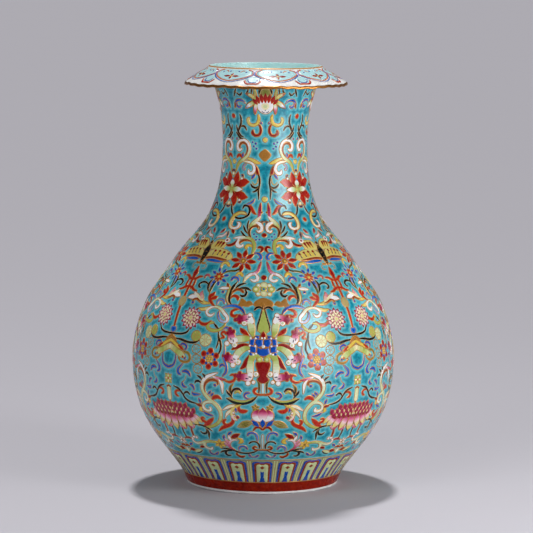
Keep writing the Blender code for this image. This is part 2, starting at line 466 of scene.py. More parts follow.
def bowl():
    """The lower half of the belly with its floor, and the border's ground over it."""
    rebate = LAPPETS_TOP + 0.3
    section = outside(FOOT_TOP, rebate, 0.35) + outside(rebate, SHOULDER_SEAM)
    section += inside(30.0, SHOULDER_SEAM)
    section += [(70.0, 23.0), (60.0, 18.6), (45.0, 17.2), (AXIS, 17.0), (AXIS, FOOT_TOP)]
    turned("lower_body_glazed", "lower_body", section,
           finishes["turquoise"], facets=FINE_FACETS)
    band = outside(11.0, LAPPETS_TOP)
    turned("lappet_ground", "lappet_band", band + behind(band),
           finishes["band_green"])


def tube_section(name, low, high):
    """A turquoise section of the body; its ends meet its neighbours' ends."""
    turned(name + "_glazed", name, outside(low, high) + inside(low, high),
           finishes["turquoise"], facets=FINE_FACETS)


def flange():
    """The top of the neck and the foliate flange, with gilding on its edge and lip."""
    neck_top = outside(MOUTH_SEAM, 338.0) + [(46.4, 338.7)]
    section = neck_top + [(50.0, 338.2), (56.0, 336.6), (62.0, 335.2), (67.2, 334.2)]
    section += [*reversed(FLANGE_TOP), (46.9, 349.3), (45.3, 349.3)]
    section += inside(MOUTH_SEAM, 349.0)
    turned("flange_white", "mouth_flange", section, finishes["porcelain"],
           foliate=True, facets=FINE_FACETS, second=finishes["turquoise"],
           second_rows=len(neck_top))
    edge = [(67.0, 334.0), (67.8, 334.1), (68.2, 334.6), (68.2, 335.2), (67.8, 335.9),
            (67.0, 336.4)]
    turned("flange_gilt_edge", "gilt_rim", edge, finishes["burnished"],
           foliate=True, facets=2 * FACETS)
    lip = [(45.2, 349.0), (45.4, 349.7), (46.0, 350.0), (46.5, 349.9), (47.1, 349.4),
           (47.5, 348.7), (47.0, 348.5)]
    turned("mouth_gilt_line", "gilt_mouth_line", lip, finishes["gold"],
           second=finishes["inside"], second_rows=3)


def interior():
    """The glaze inside, down the wall and over the floor: turquoise, made paler as painted light."""
    wall = inside(27.0, 349.3, -FLUSH)
    floor_back = [(62.0, 20.0), (45.0, 17.3), (AXIS, 17.1)]
    floor_face = [(AXIS, 17.9), (47.0, 18.2), (63.0, 20.9)]
    turned("interior_coat", "interior_glaze",
           wall + floor_back + floor_face + behind(wall), finishes["inside"])


# ---------------------------------------------------------------- brush strokes

def straight(corners):
    """A closed line with straight sides, sampled about every STEP mm."""
    made = []
    for start, end in zip(corners, np.roll(corners, -1, 0)):
        share = np.linspace(0.0, 1.0, math.ceil(gap(start, end) / STEP), endpoint=False)[:, None]
        made.append(start + share * (end - start))
    return np.vstack(made)


def eased(knots, closed=False):
    """A smooth curve through rows of (angle, run, ...), sampled about every STEP mm."""
    knots = np.array(knots, float)
    if closed:
        knots = np.vstack([knots[-1], knots, knots[:2]])
    else:
        knots = np.vstack([2 * knots[0] - knots[1], knots, 2 * knots[-1] - knots[-2]])
    made = []
    for before, start, end, after in zip(knots, knots[1:], knots[2:], knots[3:]):
        into, over, out = (gap(*pair) for pair in ((before, start), (start, end), (end, after)))
        leave = ((end - start) * into / over + (start - before) * over / into) / (into + over)
        arrive = ((after - end) * over / out + (end - start) * out / over) / (over + out)
        t = np.linspace(0.0, 1.0, max(2, math.ceil(over / STEP)), endpoint=False)[:, None]
        made.append(
            (2 * t**3 - 3 * t**2 + 1) * start + (t**3 - 2 * t**2 + t) * over * leave
            + (3 * t**2 - 2 * t**3) * end + (t**3 - t**2) * over * arrive
        )
    if not closed:
        made.append(knots[-2:-1])
    return np.vstack(made)


def gap(one, other):
    """Rough distance in mm between two knots, never quite nothing."""
    return max(0.2, math.hypot(MM_PER_DEGREE * (other[0] - one[0]), other[1] - one[1]))


stroke_edges = []            # where strokes meet the ground, for its paler halo


class Motif:
    """Enamel strokes drawn once, then repeated round the vase, mirrored if asked.

    A stroke marked axis stands on a mirror line and is repeated unmirrored.  Every
    stroke is outlined with the edging finish; gilt is the width of that outline.
    """

    def __init__(self, name, surface=BODY, centres=(0, 90, 180, 270), mirrored=True,
                 slot="painted_enamels"):
        self.name = name
        self.surface = surface
        self.centres = centres
        self.mirrored = mirrored
        self.edging = "gold"
        self.slot = slot
        self.parts = []

    def add(self, points, faces, tones, axis):
        """Keeps a closed body: points are (angle, run, lift)."""
        self.parts.append((np.asarray(points, float), faces, tones, axis))

    def frame_at(self, centre):
        """Unit directions along and across a line of (angle, run), in degrees and mm."""
        wide = self.surface.width_of_degree(centre[:, 1])
        along = np.gradient(centre, axis=0)
        along[:, 0] *= wide
        along /= np.maximum(np.hypot(*along.T), 1e-6)[:, None]
        across = np.stack([-along[:, 1] / wide, along[:, 0]], -1)
        along = np.stack([along[:, 0] / wide, along[:, 1]], -1)
        return along, across

    def stroke(self, tones, *knots, axis=False, lift=0.0, gilt=None):
        """A brush stroke through (angle, run, half-width) knots, with round ends."""
        tones = tones.split()
        if gilt is None:
            gilt = DARK_GILT if tones[0] in DARK_TONES else GILT
        line = eased(knots)
        taken = DARK_TAKEN if gilt == DARK_GILT else TAKEN * gilt / GILT
        centre, half = line[:, :2], np.maximum(line[:, 2] - taken, THINNEST)
        along, across = self.frame_at(centre)
        rows = self.round_end(centre[0], -along[0], across[0], half[0], gilt)
        for middle, side, inner in zip(centre, across, half):
            rows.append((middle, side, inner, inner + gilt, 1.0))
        rows += self.round_end(centre[-1], along[-1], across[-1], half[-1], gilt)[::-1]
        points = []
        for middle, side, inner, outer, crown in rows:
            top, shoulder = RELIEF * crown, SHOULDER * RELIEF * crown
            for offset, height in ((-outer, -SINK), (-inner, shoulder), (0.0, top),
                                   (inner, shoulder), (outer, -SINK)):
                points.append((*(middle + offset * side), height + lift))
        self.add(points, *self.skin(len(rows), tones), axis)

    @staticmethod
    def round_end(centre, beyond, side, half, gilt):
        """The two narrowed cross-sections past the end of a stroke, the last one first."""
        tip = (centre + (half + gilt) * beyond, side, 0.05, 0.1, 0.0)
        narrow = 0.6 * half
        return [tip, (centre + 0.8 * half * beyond, side, narrow, narrow + 0.8 * gilt, 0.9)]

    def skin(self, count, tones):
        """The faces round a stroke's cross-sections, and the enamel that each one has."""
        faces, colours = [tuple(range(4, -1, -1))], [self.edging]
        for row in range(count - 1):
            tone = tone_at(tones, min(1.0, max(0.0, (row - 1.5) / max(1, count - 5))))
            ends = row == 0 or row == count - 2
            for lane in range(5):
                low, high = 5 * row + lane, 5 * row + (lane + 1) % 5
                faces.append((low, low + 5, high + 5, high))
                colours.append(self.edging if ends or lane in (0, 3, 4) else tone)
        last = 5 * (count - 1)
        return [*faces, tuple(range(last, last + 5))], [*colours, self.edging]

    def fan(self, edge, middle, tones, axis, lift, relief, gilt, outward, size):
        """A closed cushion inside an edge: outward holds the edge's unit normals."""
        depths = np.linspace(0.0, 1.0, max(3, math.ceil(size / RING_STEP) + 1))[:-1]
        rise = np.sin(0.5 * math.pi * np.minimum(1.0, 2.2 * depths))
        crown = relief * (SHOULDER + (1.0 - SHOULDER) * rise)
        over = [edge + gilt * outward] + [edge + depth * (middle - edge) for depth in depths]
        under = over[:1:-1]
        lifts = [-SINK, *(crown + lift)] + [-SINK] * len(under)
        points = [(*spot, height) for ring, height in zip(over + under, lifts) for spot in ring]
        points += [(*middle, relief + lift), (*middle, -SINK)]
        self.add(points, *self.cushion(len(edge), len(over), len(under), tones), axis)

    def cushion(self, count, over, under, tones):
        """The faces between a cushion's rings, and the enamel that each one has.

        The rings run from its outline in over the top, then back out underneath.
        """
        faces, colours = [], []
        inmost = over - 1
        for ring in range(inmost):
            tone = tone_at(tones, max(0, ring - 1) / max(1, inmost - 1))
            self.band(faces, ring, ring + 1, count)
            colours += [self.edging if ring == 0 else tone] * count
        top = (over + under) * count
        self.cap(faces, inmost, top, count)
        colours += [tones[-1]] * count
        below = [*range(over, over + under), 0]
        for inner, outer in zip(below, below[1:]):
            self.band(faces, inner, outer, count)
        self.cap(faces, below[0], top + 1, count, flip=True)
        return faces, colours + [self.edging] * count * len(below)

    @staticmethod
    def band(faces, low, high, count):
        """Quads between two rings of points."""
        for index in range(count):
            after = (index + 1) % count
            faces.append((low * count + index, low * count + after,
                          high * count + after, high * count + index))

    @staticmethod
    def cap(faces, ring, middle, count, flip=False):
        """Triangles from a ring of points to one in the middle."""
        for index in range(count):
            pair = (ring * count + index, ring * count + (index + 1) % count)
            faces.append((*(pair[::-1] if flip else pair), middle))

    def dot(self, tones, angle, run, radius, axis=False, lift=0.0, tall=1.0, gilt=None):
        """A round drop of enamel; tall stretches it up the vase."""
        gilt = GILT if gilt is None else gilt
        radius = max(THINNEST, radius - TAKEN * (gilt / GILT))
        count = 8 if radius < SMALL_DOT else 14
        turn = np.arange(count) * 2 * math.pi / count
        ring = np.stack([np.cos(turn) / self.surface.width_of_degree(run), np.sin(turn)], -1)
        middle = np.array([angle, run])
        edge = middle + radius * ring * (1.0, tall)
        self.fan(edge, middle, tones.split(), axis, lift, RELIEF, gilt, ring, radius)

    def shape(self, tones, *outline, axis=False, lift=0.0, relief=RELIEF, gilt=None,
              corners=False):
        """A filled outline, given whole, or as its right half if it is on an axis.

        It is rounded, unless corners is set.
        """
        gilt = GILT if gilt is None else gilt
        outline = np.array(outline, float)
        if axis:
            middle = HALFWAY if outline[:, 0].mean() > 0.5 * HALFWAY else 0.0
            other = outline[::-1].copy()
            other[:, 0] = 2 * middle - other[:, 0]
            keep = np.abs(other[:, 0] - middle) > 0.05
            outline = np.vstack([outline, other[keep]])
        edge = straight(outline) if corners else eased(outline, closed=True)
        wide = self.surface.width_of_degree(edge[:, 1])
        turned_left = np.sum(edge[:, 0] * np.roll(edge[:, 1], -1)
                             - np.roll(edge[:, 0], -1) * edge[:, 1])
        if turned_left < 0.0:
            edge, wide = edge[::-1], wide[::-1]
        along = np.roll(edge, -1, 0) - np.roll(edge, 1, 0)
        along[:, 0] *= wide
        along /= np.hypot(*along.T)[:, None]
        outward = np.stack([along[:, 1] / wide, -along[:, 0]], -1)
        middle = 0.5 * (edge.min(0) + edge.max(0)) if corners else edge.mean(0)
        size = 0.5 * np.min(np.ptp(edge * (wide.mean(), 1.0), axis=0))
        self.fan(edge, middle, tones.split(), axis, lift, relief, gilt, outward, size)

    def petals(self, tones, angle, run, start, end, half, count, phase=0.0, axis=False,
               lift=0.0, gilt=None):
        """A ring of petals round a centre, from radius start to radius end in mm."""
        wide = self.surface.width_of_degree(run)
        for index in range(count):
            turn = math.radians(phase + 360.0 * index / count)
            ray = np.array([math.sin(turn) / wide, math.cos(turn)])
            near, mid, far = (np.array([angle, run]) + reach * ray
                              for reach in (start, 0.55 * start + 0.45 * end, end))
            self.stroke(tones, (*near, 0.45 * half), (*mid, half), (*far, 0.5 * half),
                        axis=axis, lift=lift, gilt=gilt)

    def make(self):
        """Joins the repeats into one mesh piece, and notes where its strokes meet the ground."""
        names = sorted({tone for *_, tones, _ in self.parts for tone in tones})
        slots = {name: index for index, name in enumerate(names)}
        points, faces, colours = [], [], []
        total = 0
        for part, part_faces, tones, axis in self.parts:
            sides = (1, -1) if self.mirrored and not axis else (1,)
            tones = [slots[tone] for tone in tones]
            for centre in self.centres:
                for side in sides:
                    moved = part.copy()
                    moved[:, 0] = centre + side * part[:, 0]
                    points.append(moved)
                    for face in part_faces:
                        face = [total + corner for corner in face]
                        faces.append(face if side > 0 else face[::-1])
                    colours += tones
                    total += len(part)
        points = np.vstack(points)
        placed = self.surface.place(*points.T)
        if self.surface is BODY:
            stroke_edges.extend(placed[points[:, 2] <= -SINK + 0.001])
        mesh = bpy.data.meshes.new(self.name)
        mesh.from_pydata(placed.tolist(), [], faces)
        for name in names:
            mesh.materials.append(finishes[name])
        mesh.polygons.foreach_set("material_index", colours)
        mesh.shade_smooth()
        show(self.name, mesh)


# ---------------------------------------------------------------- painting, foot to shoulder

def foot_stalks(draw):
    """The curls and dark leaves just above the lappet band."""
    stroke = draw.stroke
    stroke("crimson", (0, 50.2, .55), (2.2, 50.2, .6), (3.9, 50.6, .8), (4.7, 52.2, .9),
           (3.9, 54, .8), (2.9, 53.2, .5))
    stroke("brown", (1.6, 52, .4), (1.5, 55, .7), (2.4, 58.2, .7), (4.2, 59.4, .7),
           (6, 58.3, .7), (6.6, 57, .5))
    stroke("lilac sky blue", (2.4, 60, .5), (2.5, 64, .9), (3.5, 67.6, .9), (5.1, 68.5, .9),
           (6.7, 67.2, .9), (7, 65.7, .6))
    stroke("black dark_green", (2.4, 49.6, .4), (5, 47.2, .7), (8.5, 46, .8), (12, 46.6, .8),
           (14.5, 48.4, .9), (16.5, 49.8, .9))
    stroke("dark_green", (15.5, 48.8, .9), (18, 50.2, .9), (20, 50.6, .8), (22, 50.2, .25))
    stroke("dark_green", (16.5, 48.6, .8), (19.5, 47.8, 1), (21.8, 46.6, .8), (23.2, 45, .2))
    stroke("black", (18.2, 48.2, .4), (19.8, 46.4, .9), (20, 44, 1.1), (18.8, 42.4, 1),
           (17.4, 43, .5))


def foot_blossom(draw):
    """The pink blossom on those leaves, with the curls round it."""
    stroke = draw.stroke
    stroke("magenta pink pale_pink white", (14.8, 49.2, .8), (16.5, 51.5, 1), (17, 55, 1.1),
           (16, 58.6, 1), (14.2, 60.6, .8), (12.6, 60.4, .5))
    stroke("pink pale_pink", (17, 53, .7), (18.4, 55.5, 1.2), (19.3, 58.2, .3))
    stroke("pink white", (16.8, 56.5, .7), (18, 59.5, 1.2), (18.7, 62, .3))
    stroke("white", (15.4, 59.6, .7), (16.2, 62.4, 1.2), (16.6, 65, .3))
    stroke("yellow", (11.4, 57.4, .8), (10.3, 59.2, 1.5), (11, 61.6, 1), (12.2, 62.4, .3))
    stroke("crimson", (10.8, 67, .3), (12.4, 65.4, 1.7), (14, 63.8, 1.8), (15.2, 62.6, .5))
    stroke("blue", (14.6, 68.6, .3), (15.8, 67, 1.1), (16.8, 64.8, .3))
    stroke("blue", (18.6, 65, .3), (19, 62.6, 1.1), (18.8, 60.2, .3))
    stroke("blue sky lilac", (7.9, 51.2, .7), (8.6, 53.4, .8), (10.2, 54, .9),
           (11.6, 52.6, .9), (12.2, 50, .6), (12.1, 48.6, .3))
    stroke("crimson", (13.6, 46.6, .3), (13.8, 44.6, .8), (12.6, 42.4, 1), (11, 41.6, 1.1),
           (9.8, 42.6, .6))
    stroke("blue lilac blue", (2.4, 43.6, .8), (3.6, 42, .8), (5, 41.4, .6), (6.4, 42.4, .8),
           (7, 44.4, .8))
    stroke("blue", (24.4, 45.6, .3), (25.4, 43.8, 1), (26.8, 42.4, .5))
    stroke("violet", (27.2, 42.2, .5), (28.8, 42.8, .9), (29.6, 44.6, .8), (29.2, 46.4, .3))


def foot_daisies(draw):
    """The two small daisies, and the pale sprays between them."""
    stroke = draw.stroke
    draw.petals("yellow", 21.8, 55.3, 1.6, 4.4, 1.2, 6)
    draw.dot("olive", 21.8, 55.3, 1.0, lift=.05)
    stroke("lime pale_green white", (23.8, 56.4, .7), (27, 57.2, 1.1), (30, 56.2, 1.2),
           (33, 54.2, 1.2), (35.6, 53.6, 1), (37.4, 55.4, .9), (37.6, 57.8, .7))
    stroke("pale_green white", (29.4, 56.4, .6), (31, 53.8, 1.2), (31.2, 51, 1.2),
           (29.6, 48.8, 1.1), (27.6, 48.8, 1.1), (27, 50.4, .7))
    for angle, run, radius in ((34.4, 60, 1.3), (36, 60.4, 1.4), (37.2, 58.4, 1.2)):
        draw.dot("white", angle, run, radius)
    stroke("magenta", (37.6, 57.4, .4), (39.4, 58.6, .9), (41.2, 58.4, .8), (42.6, 57.4, .2))
    stroke("crimson", (31.2, 51, .3), (32.6, 50.4, 1.2), (34, 49.6, 1), (34.6, 49, .3))
    stroke("blue", (39, 53, .3), (40.2, 51.6, 1.1), (41.4, 50.2, .3))
    draw.petals("white", 45, 54.8, 1.2, 3.6, .9, 6, axis=True)
    draw.dot("black", 45, 54.8, .6, axis=True, lift=.05)
    stroke("crimson", (42, 48.6, .6), (43.4, 49.8, 1), (44.6, 48.8, .8))
    stroke("crimson", (39.4, 46, .6), (41, 45.4, 2), (42.4, 44.6, .8))
    stroke("black", (34.2, 45.6, .3), (36.4, 43.2, .7), (38.8, 42.2, .5))
    stroke("pale_green", (34.6, 46.4, .3), (36.4, 45, 1.5), (38.4, 43.8, 1.4), (39.6, 43.2, .5))
    stroke("white", (45, 42.4, .5), (45, 44.8, 1.2), (45, 47, .4), axis=True)
    stroke("pale_green", (45, 42.2, .4), (43.9, 44.6, 1.1), (43.2, 46.4, .4))


def lotus(draw):
    """The open lotus with rows of pointed petals, between the blossom scrolls."""
    stroke = draw.stroke
    stroke("dark_green black", (24.4, 68, .3), (26, 70.4, .8), (28.6, 72.6, .9), (31.6, 73.2, .6),
           (33.4, 72.6, .3))
    stroke("black", (26.6, 69.4, .3), (26.4, 66, .8), (26.8, 62.6, .6), (27, 60, .2))
    stroke("dark_green", (27.6, 70.6, .3), (27.2, 67.6, .7), (28.2, 65.2, 1), (29.8, 65, .9),
           (30.8, 66.6, .4))
    stroke("crimson", (35.8, 70, .5), (36, 66, .9), (35.9, 61.4, .7))
    stroke("brown", (41.4, 70, .5), (41.6, 66, .8), (41, 60, .6), (40.6, 58.4, .4))
    stroke("pale_pink magenta", (33.2, 72.6, .4), (34.6, 70.8, 1.6), (36.2, 70.2, 1.2),
           (37, 71.8, .5))
    stroke("magenta pink pale_pink", (38, 72, .5), (39.4, 69.4, 1.6), (41.4, 69, 1.4),
           (42.4, 71.2, .6))
    fade = "magenta pink pale_pink butter butter"
    stroke(fade, (34.8, 82, 1.2), (31.6, 80.4, 1.8), (29.8, 77.6, 1.5), (29, 75.6, .4))
    stroke(fade, (36.6, 81, 1.8), (33.6, 78, 2.5), (31.8, 74.6, 1.9), (31, 72.4, .4))
    stroke(fade, (39, 80.4, 2), (37, 76.4, 2.8), (35.4, 72.6, 2), (34.6, 70.6, .5), lift=.03)
    stroke(fade, (42, 80.4, 2.2), (40.8, 75.4, 3), (39.6, 70.8, 2), (39, 68.6, .5), lift=.06)
    stroke(fade, (45, 80.4, 2.5), (45, 74, 3.4), (45, 69, 2.4), (45, 66.8, .5), axis=True, lift=.1)
    draw.shape("magenta crimson", (45, 90.6), (40, 90), (36, 87.6), (34.2, 84), (35, 80.8),
               (39.6, 79.2), (45, 78.8), axis=True, lift=.08)
    for row, run in enumerate((79.8, 83.2, 86.8)):
        for step in range(5 - row // 2):
            angle = 45.0 - 2.6 * step - 1.3 * (row % 2)
            lean = 0.3 + 0.12 * step if angle < 45.0 else 0.0
            lift = 0.28 - 0.04 * row
            stroke("crimson magenta magenta pink", (angle, run, 1.0),
                   (angle - lean, run + 2.2, 2.3), (angle - 2 * lean, run + 4.8, .6),
                   axis=lean == 0.0, lift=lift, gilt=.3 + .15 * row)
            if row < 2:
                stroke("cream butter pink", (angle + .6, run + 2, .4), (angle + .4, run + 3, .9),
                       (angle, run + 4.2, .3), lift=lift + .14, gilt=.1)


def front_bud(draw):
    """The bud on the front, with its stem and its leaf."""
    stroke = draw.stroke
    stroke("blue", (0, 81, .5), (0, 77.8, 2.3), (0, 73.8, .5), axis=True, lift=.06)
    stroke("blue", (1.7, 74.6, .5), (3.2, 77.2, 2.0), (4.8, 80.2, .5), lift=.03)
    stroke("white pale_pink pink magenta", (0, 80, 2), (0, 84, 4.4), (0, 88, 3.4), (0, 90.6, .8),
           axis=True)
    stroke("white white pink magenta", (1.4, 80, 1.2), (3.2, 82.6, 2.6), (3.4, 86, 2.4),
           (2, 89.4, .8), lift=.03)
    stroke("crimson", (.2, 71.6, .7), (1, 73.2, .8), (2.2, 74, .9), (3.4, 73, .9),
           (4.2, 70.8, .5))
    stroke("pale_turquoise", (0, 66, .8), (0, 58, 1), (0, 52, .6), axis=True)
    stroke("tan olive tan", (4.4, 78.6, .5), (6.6, 77.4, 2.4), (9, 75.6, 2.6),
           (11.2, 73.8, .6))
    for shift in (-0.9, 0.9):
        stroke("brown", (5.6, 78 + shift, .15), (7.4, 76.8 + shift, .2), (9.4, 75.2 + shift, .15),
               lift=.15, gilt=.12)


def tall_scroll(draw):
    """The tall pale scroll that rises beside the bud, with its curls."""
    stroke = draw.stroke
    stroke("iron_red", (20.8, 68.8, .3), (19.2, 71.6, 1.2), (16.8, 74, 1.7), (14.6, 76, 1.5),
           (13.4, 79, 1.2), (13.8, 81.8, .5))
    stroke("iron_red", (16.8, 74.6, 1.2), (17.8, 76.6, 1.2), (17.8, 78.8, 1.2), (16.8, 80, .6))
    stroke("iron_red", (28.2, 72.6, .3), (26.6, 74.4, 1.6), (25, 76.6, 1.9), (23.6, 79, 1.4),
           (22.6, 80.8, .4))
    stroke("iron_red", (26.2, 75.6, 1.2), (27.6, 77, 1.2), (28.8, 78.6, 1.2), (28, 80.4, .8),
           (27, 79.8, .4))
    stroke("lime lime pale_green pale_green pale_green white white", (27.6, 71.4, .5),
           (25, 72.2, .9), (22, 74.6, 1.1), (19.8, 78.4, 1.2), (18.9, 83, 1.3), (19.2, 88, 1.4),
           (20.8, 92.6, 1.5), (23.4, 96.6, 1.5), (25.6, 101, 1.5), (26.8, 106, 1.5),
           (26.6, 111, 1.5), (24.8, 115.2, 1.4), (22.2, 117.6, 1.1), (19.8, 119.4, .4))
    stroke("rust", (25.4, 101.6, .3), (26, 106, .8), (25.2, 110.4, .9), (23.2, 113, .9),
           (21, 113.4, .9), (19.6, 112, .8), (19.6, 110, .5))
    draw.dot("blue", 20.8, 109.2, 1.2)
    stroke("white", (19.2, 114.6, .5), (17.9, 110.6, 1.3), (17.6, 106, .8), (17.5, 103, .3))
    stroke("magenta pink white", (15.8, 114, .3), (17.4, 114.2, 1), (19.2, 114.8, 1.2),
           (21.6, 116, .8))
    stroke("blue", (21.6, 102.6, .3), (22.2, 101.2, 1), (23, 99.8, .3))
    stroke("blue", (22.8, 104, .3), (23.4, 102.6, 1), (24.2, 101.4, .3))
    stroke("iron_red", (18.4, 98.2, .7), (19.8, 99.6, 1.5), (21.4, 98.8, 1.5), (22.6, 96.8, .4))
    stroke("pale_green white", (20.6, 92.4, .6), (22.6, 94.6, 1), (25, 94.6, 1.1),
           (26.8, 92.2, 1.1), (26.8, 89, 1.1), (25, 87, 1.1), (23.4, 88, 1), (23.8, 90, .6))
    stroke("blue", (22.6, 82.8, .3), (24.4, 83.4, 1), (26, 84.4, 1), (27.2, 86, .3))
    stroke("crimson", (27.6, 90.4, .5), (28.8, 91.2, 1.2), (30.2, 91.6, .5))
    stroke("blue", (28, 93, .3), (28.4, 95, 1.2), (28.8, 97, .4))
    stroke("yellow", (28.2, 89.6, .5), (28.4, 87.6, 1.4), (27.8, 86, .4))


def belly_stalks(draw):
    """Dark stalks on both sides of the tall scroll."""
    stroke = draw.stroke
    stroke("black", (30, 92.4, .3), (33, 93.2, .8), (35.8, 95.8, .8), (37.2, 99.6, .8),
           (39.2, 103.4, .9), (42.2, 105.2, .3))
    stroke("black", (33.4, 99.8, .7), (34.4, 101.4, .8), (35.8, 100.8, .7), (36.6, 98.8, .3))
    stroke("iron_red", (38, 101.4, .4), (39.8, 101.8, .8), (41.2, 100, 1), (40.8, 98, 1),
           (39.6, 97, .5))
    stroke("black dark_green", (2.3, 101.6, .3), (4.4, 97.6, .9), (8.4, 94.9, 1.2),
           (12.6, 95.6, 1.2), (15.8, 98.8, .4))
    stroke("lime", (4, 100, .3), (7, 96.8, .7), (11, 96.6, .8), (14.6, 99, .5))


def yellow_lily(draw):
    """The small yellow lily beside the bud, and the little olive flower over it."""
    stroke = draw.stroke
    stroke("yellow butter cream", (9.4, 94, .4), (11.8, 92, 1.1), (13.6, 89, 1.3),
           (14, 85.6, 1.2), (13.2, 82.6, .8), (12.2, 81, .4))
    stroke("cream white", (12.6, 92.8, .8), (14.8, 91.6, 1.3), (16.8, 89.6, .8),
           (17.9, 88.4, .2))
    stroke("cream white", (14.2, 88.6, .8), (15.4, 86.4, 1.3), (16.4, 83.8, .7), (16.8, 82, .2))
    draw.dot("magenta", 11.2, 82.6, 1.4)
    stroke("pale_pink", (12.4, 84.4, .5), (13.6, 83, 1), (13.4, 81, 1), (11.8, 80, .6))
    stroke("blue", (12, 91.4, .3), (11.8, 89.2, 1), (11.6, 87.2, .3))
    draw.dot("white", 13, 86.4, 1.0, lift=.05)
    stroke("iron_red", (7, 88.6, .8), (8.4, 88, 1.7), (9.8, 88.4, 1.6), (10.5, 90.4, 1.2),
           (10.2, 91.6, .5))
    draw.petals("olive", 3.2, 91.4, .9, 2.8, .9, 5)


def belly_sprays(draw):
    """Sprays, curls and dark leaves round the foot of the rosette."""
    stroke = draw.stroke
    stroke("iron_red", (0, 102.6, .6), (1.8, 102.6, .7), (3.2, 103.6, .9), (3.8, 105.4, 1.1),
           (3.2, 107.4, 1), (2.4, 108, .5))
    stroke("black olive", (1.7, 104, .4), (1.6, 108, .7), (1.7, 112, .8), (2.6, 115, .4))
    stroke("pale_turquoise", (0, 104.5, 1.2), (0, 112, 1.2), axis=True)
    stroke("black", (9.1, 104.8, .4), (10, 106.8, .9), (11.8, 107, .9), (13.2, 104.6, .8),
           (13.6, 101.6, .4))
    stroke("olive black", (12.8, 110.8, .2), (13.8, 108.4, .9), (14, 105, .9), (13.4, 101.6, .3))
    stroke("black", (15.6, 105.8, .2), (15.2, 103.8, .9), (14.2, 101.6, .8), (13.2, 99.4, .3))
    stroke("lime", (9.8, 103.6, .5), (11, 105.2, .7), (12, 103.6, .6))
    stroke("blue", (5.8, 104, .7), (7.2, 103.6, .9), (7.9, 101.4, .8), (7, 99.4, .6),
           (5.4, 98.8, .3))
    stroke("iron_red", (16.4, 113.2, .3), (14.2, 112.4, .9), (12.4, 114, 1), (11.9, 116.6, 1),
           (12.8, 118.6, .9), (14, 118, .5))
    stroke("black", (25.4, 114.2, .4), (25.6, 116, 1), (26.6, 117.8, .4))
    stroke("black", (27, 112.8, .4), (27.8, 114.8, 1), (29.2, 116, .4))
    stroke("black", (27.4, 110.4, .4), (28.6, 111.6, 1), (30, 111, .8), (30.4, 109.4, .3))


def clouds_and_pillar(draw):
    """Blue cloud wisps, and the small pillar that carries the hanging chime's flower."""
    stroke = draw.stroke
    stroke("blue", (32.8, 115.4, .8), (33.6, 117.6, 1.3), (35.2, 118.6, 1.2), (36.8, 118, .6))
    stroke("sky blue", (36.6, 124.6, .3), (37.8, 122.4, .7), (39.2, 119.4, 1.2),
           (39, 116.4, 1.3), (37.8, 115.4, .6))
    stroke("gold", (35, 114.6, .3), (35.6, 111.4, .3), (36.6, 109.6, .3), gilt=.2)
    stroke("blue", (36.9, 109.4, .4), (36.9, 107.2, 1.2), (35.9, 105.6, .9), (34.8, 105.4, .3))
    stroke("blue", (33, 107.8, .4), (31.8, 107.4, 1.1), (31, 105.4, .9), (31, 103.6, .3))
    stroke("sky blue", (28, 100.6, .3), (29.6, 100.2, 1), (31.6, 100.4, 1.1), (32, 102, .4))
    stroke("cream pale_green", (45, 94.5, 2.0), (45, 103, 2.0), axis=True)
    stroke("crimson", (43.9, 104, .5), (45, 104.6, .9))
    draw.petals("lime", 45, 111, 1.4, 4.2, 1.4, 4, phase=45, axis=True)
    draw.petals("cream", 45, 111, 1.2, 3.4, 1.0, 4, axis=True, lift=.05)
    draw.dot("iron_red", 45, 111, .8, axis=True, lift=.1)


BELLY_DEGREE = 1.88          # mm round the belly for each degree
SHOULDER_DEGREE = 1.24       # the same, high on the shoulder


def curled_head(draw, neck, head, crown, curl, lobe):
    """A petal's curled head: a pale knob and its lobes, with a magenta crown."""
    wide = draw.surface.width_of_degree(head[1])
    reach = np.array([(crown[0] - head[0]) * wide, crown[1] - head[1]])
    length = math.hypot(*reach)
    over = np.array([-reach[1], reach[0]]) / length

    def at(out, aside):
        """A place this share of the way to the crown, and this far aside in mm."""
        across, up = out * reach + aside * over
        return head[0] + across / wide, head[1] + up

    draw.dot("white", *lobe, 2.0)
    draw.dot("white", *curl, 2.1, lift=.03)
    draw.dot("pale_green", *curl, 1.0, lift=.2, gilt=.35)
    for out, aside in ((1.05, 2.3), (1.05, -2.3), (1.5, 0.0)):
        draw.dot("magenta crimson", *at(out, aside), 1.8)
    draw.stroke("white white pale_pink pink magenta magenta", (*neck, 2.2), (*at(0, 0), 2.9),
                (*at(.5, 0), 2.9), (*at(1.2, 0), 2.3), lift=.05)
    for out, aside in ((-.15, .8), (.15, -.8)):
        draw.stroke("navy", (*at(out - .1, aside), .3), (*at(out + .15, aside), .45), lift=.25,
                    gilt=.1)


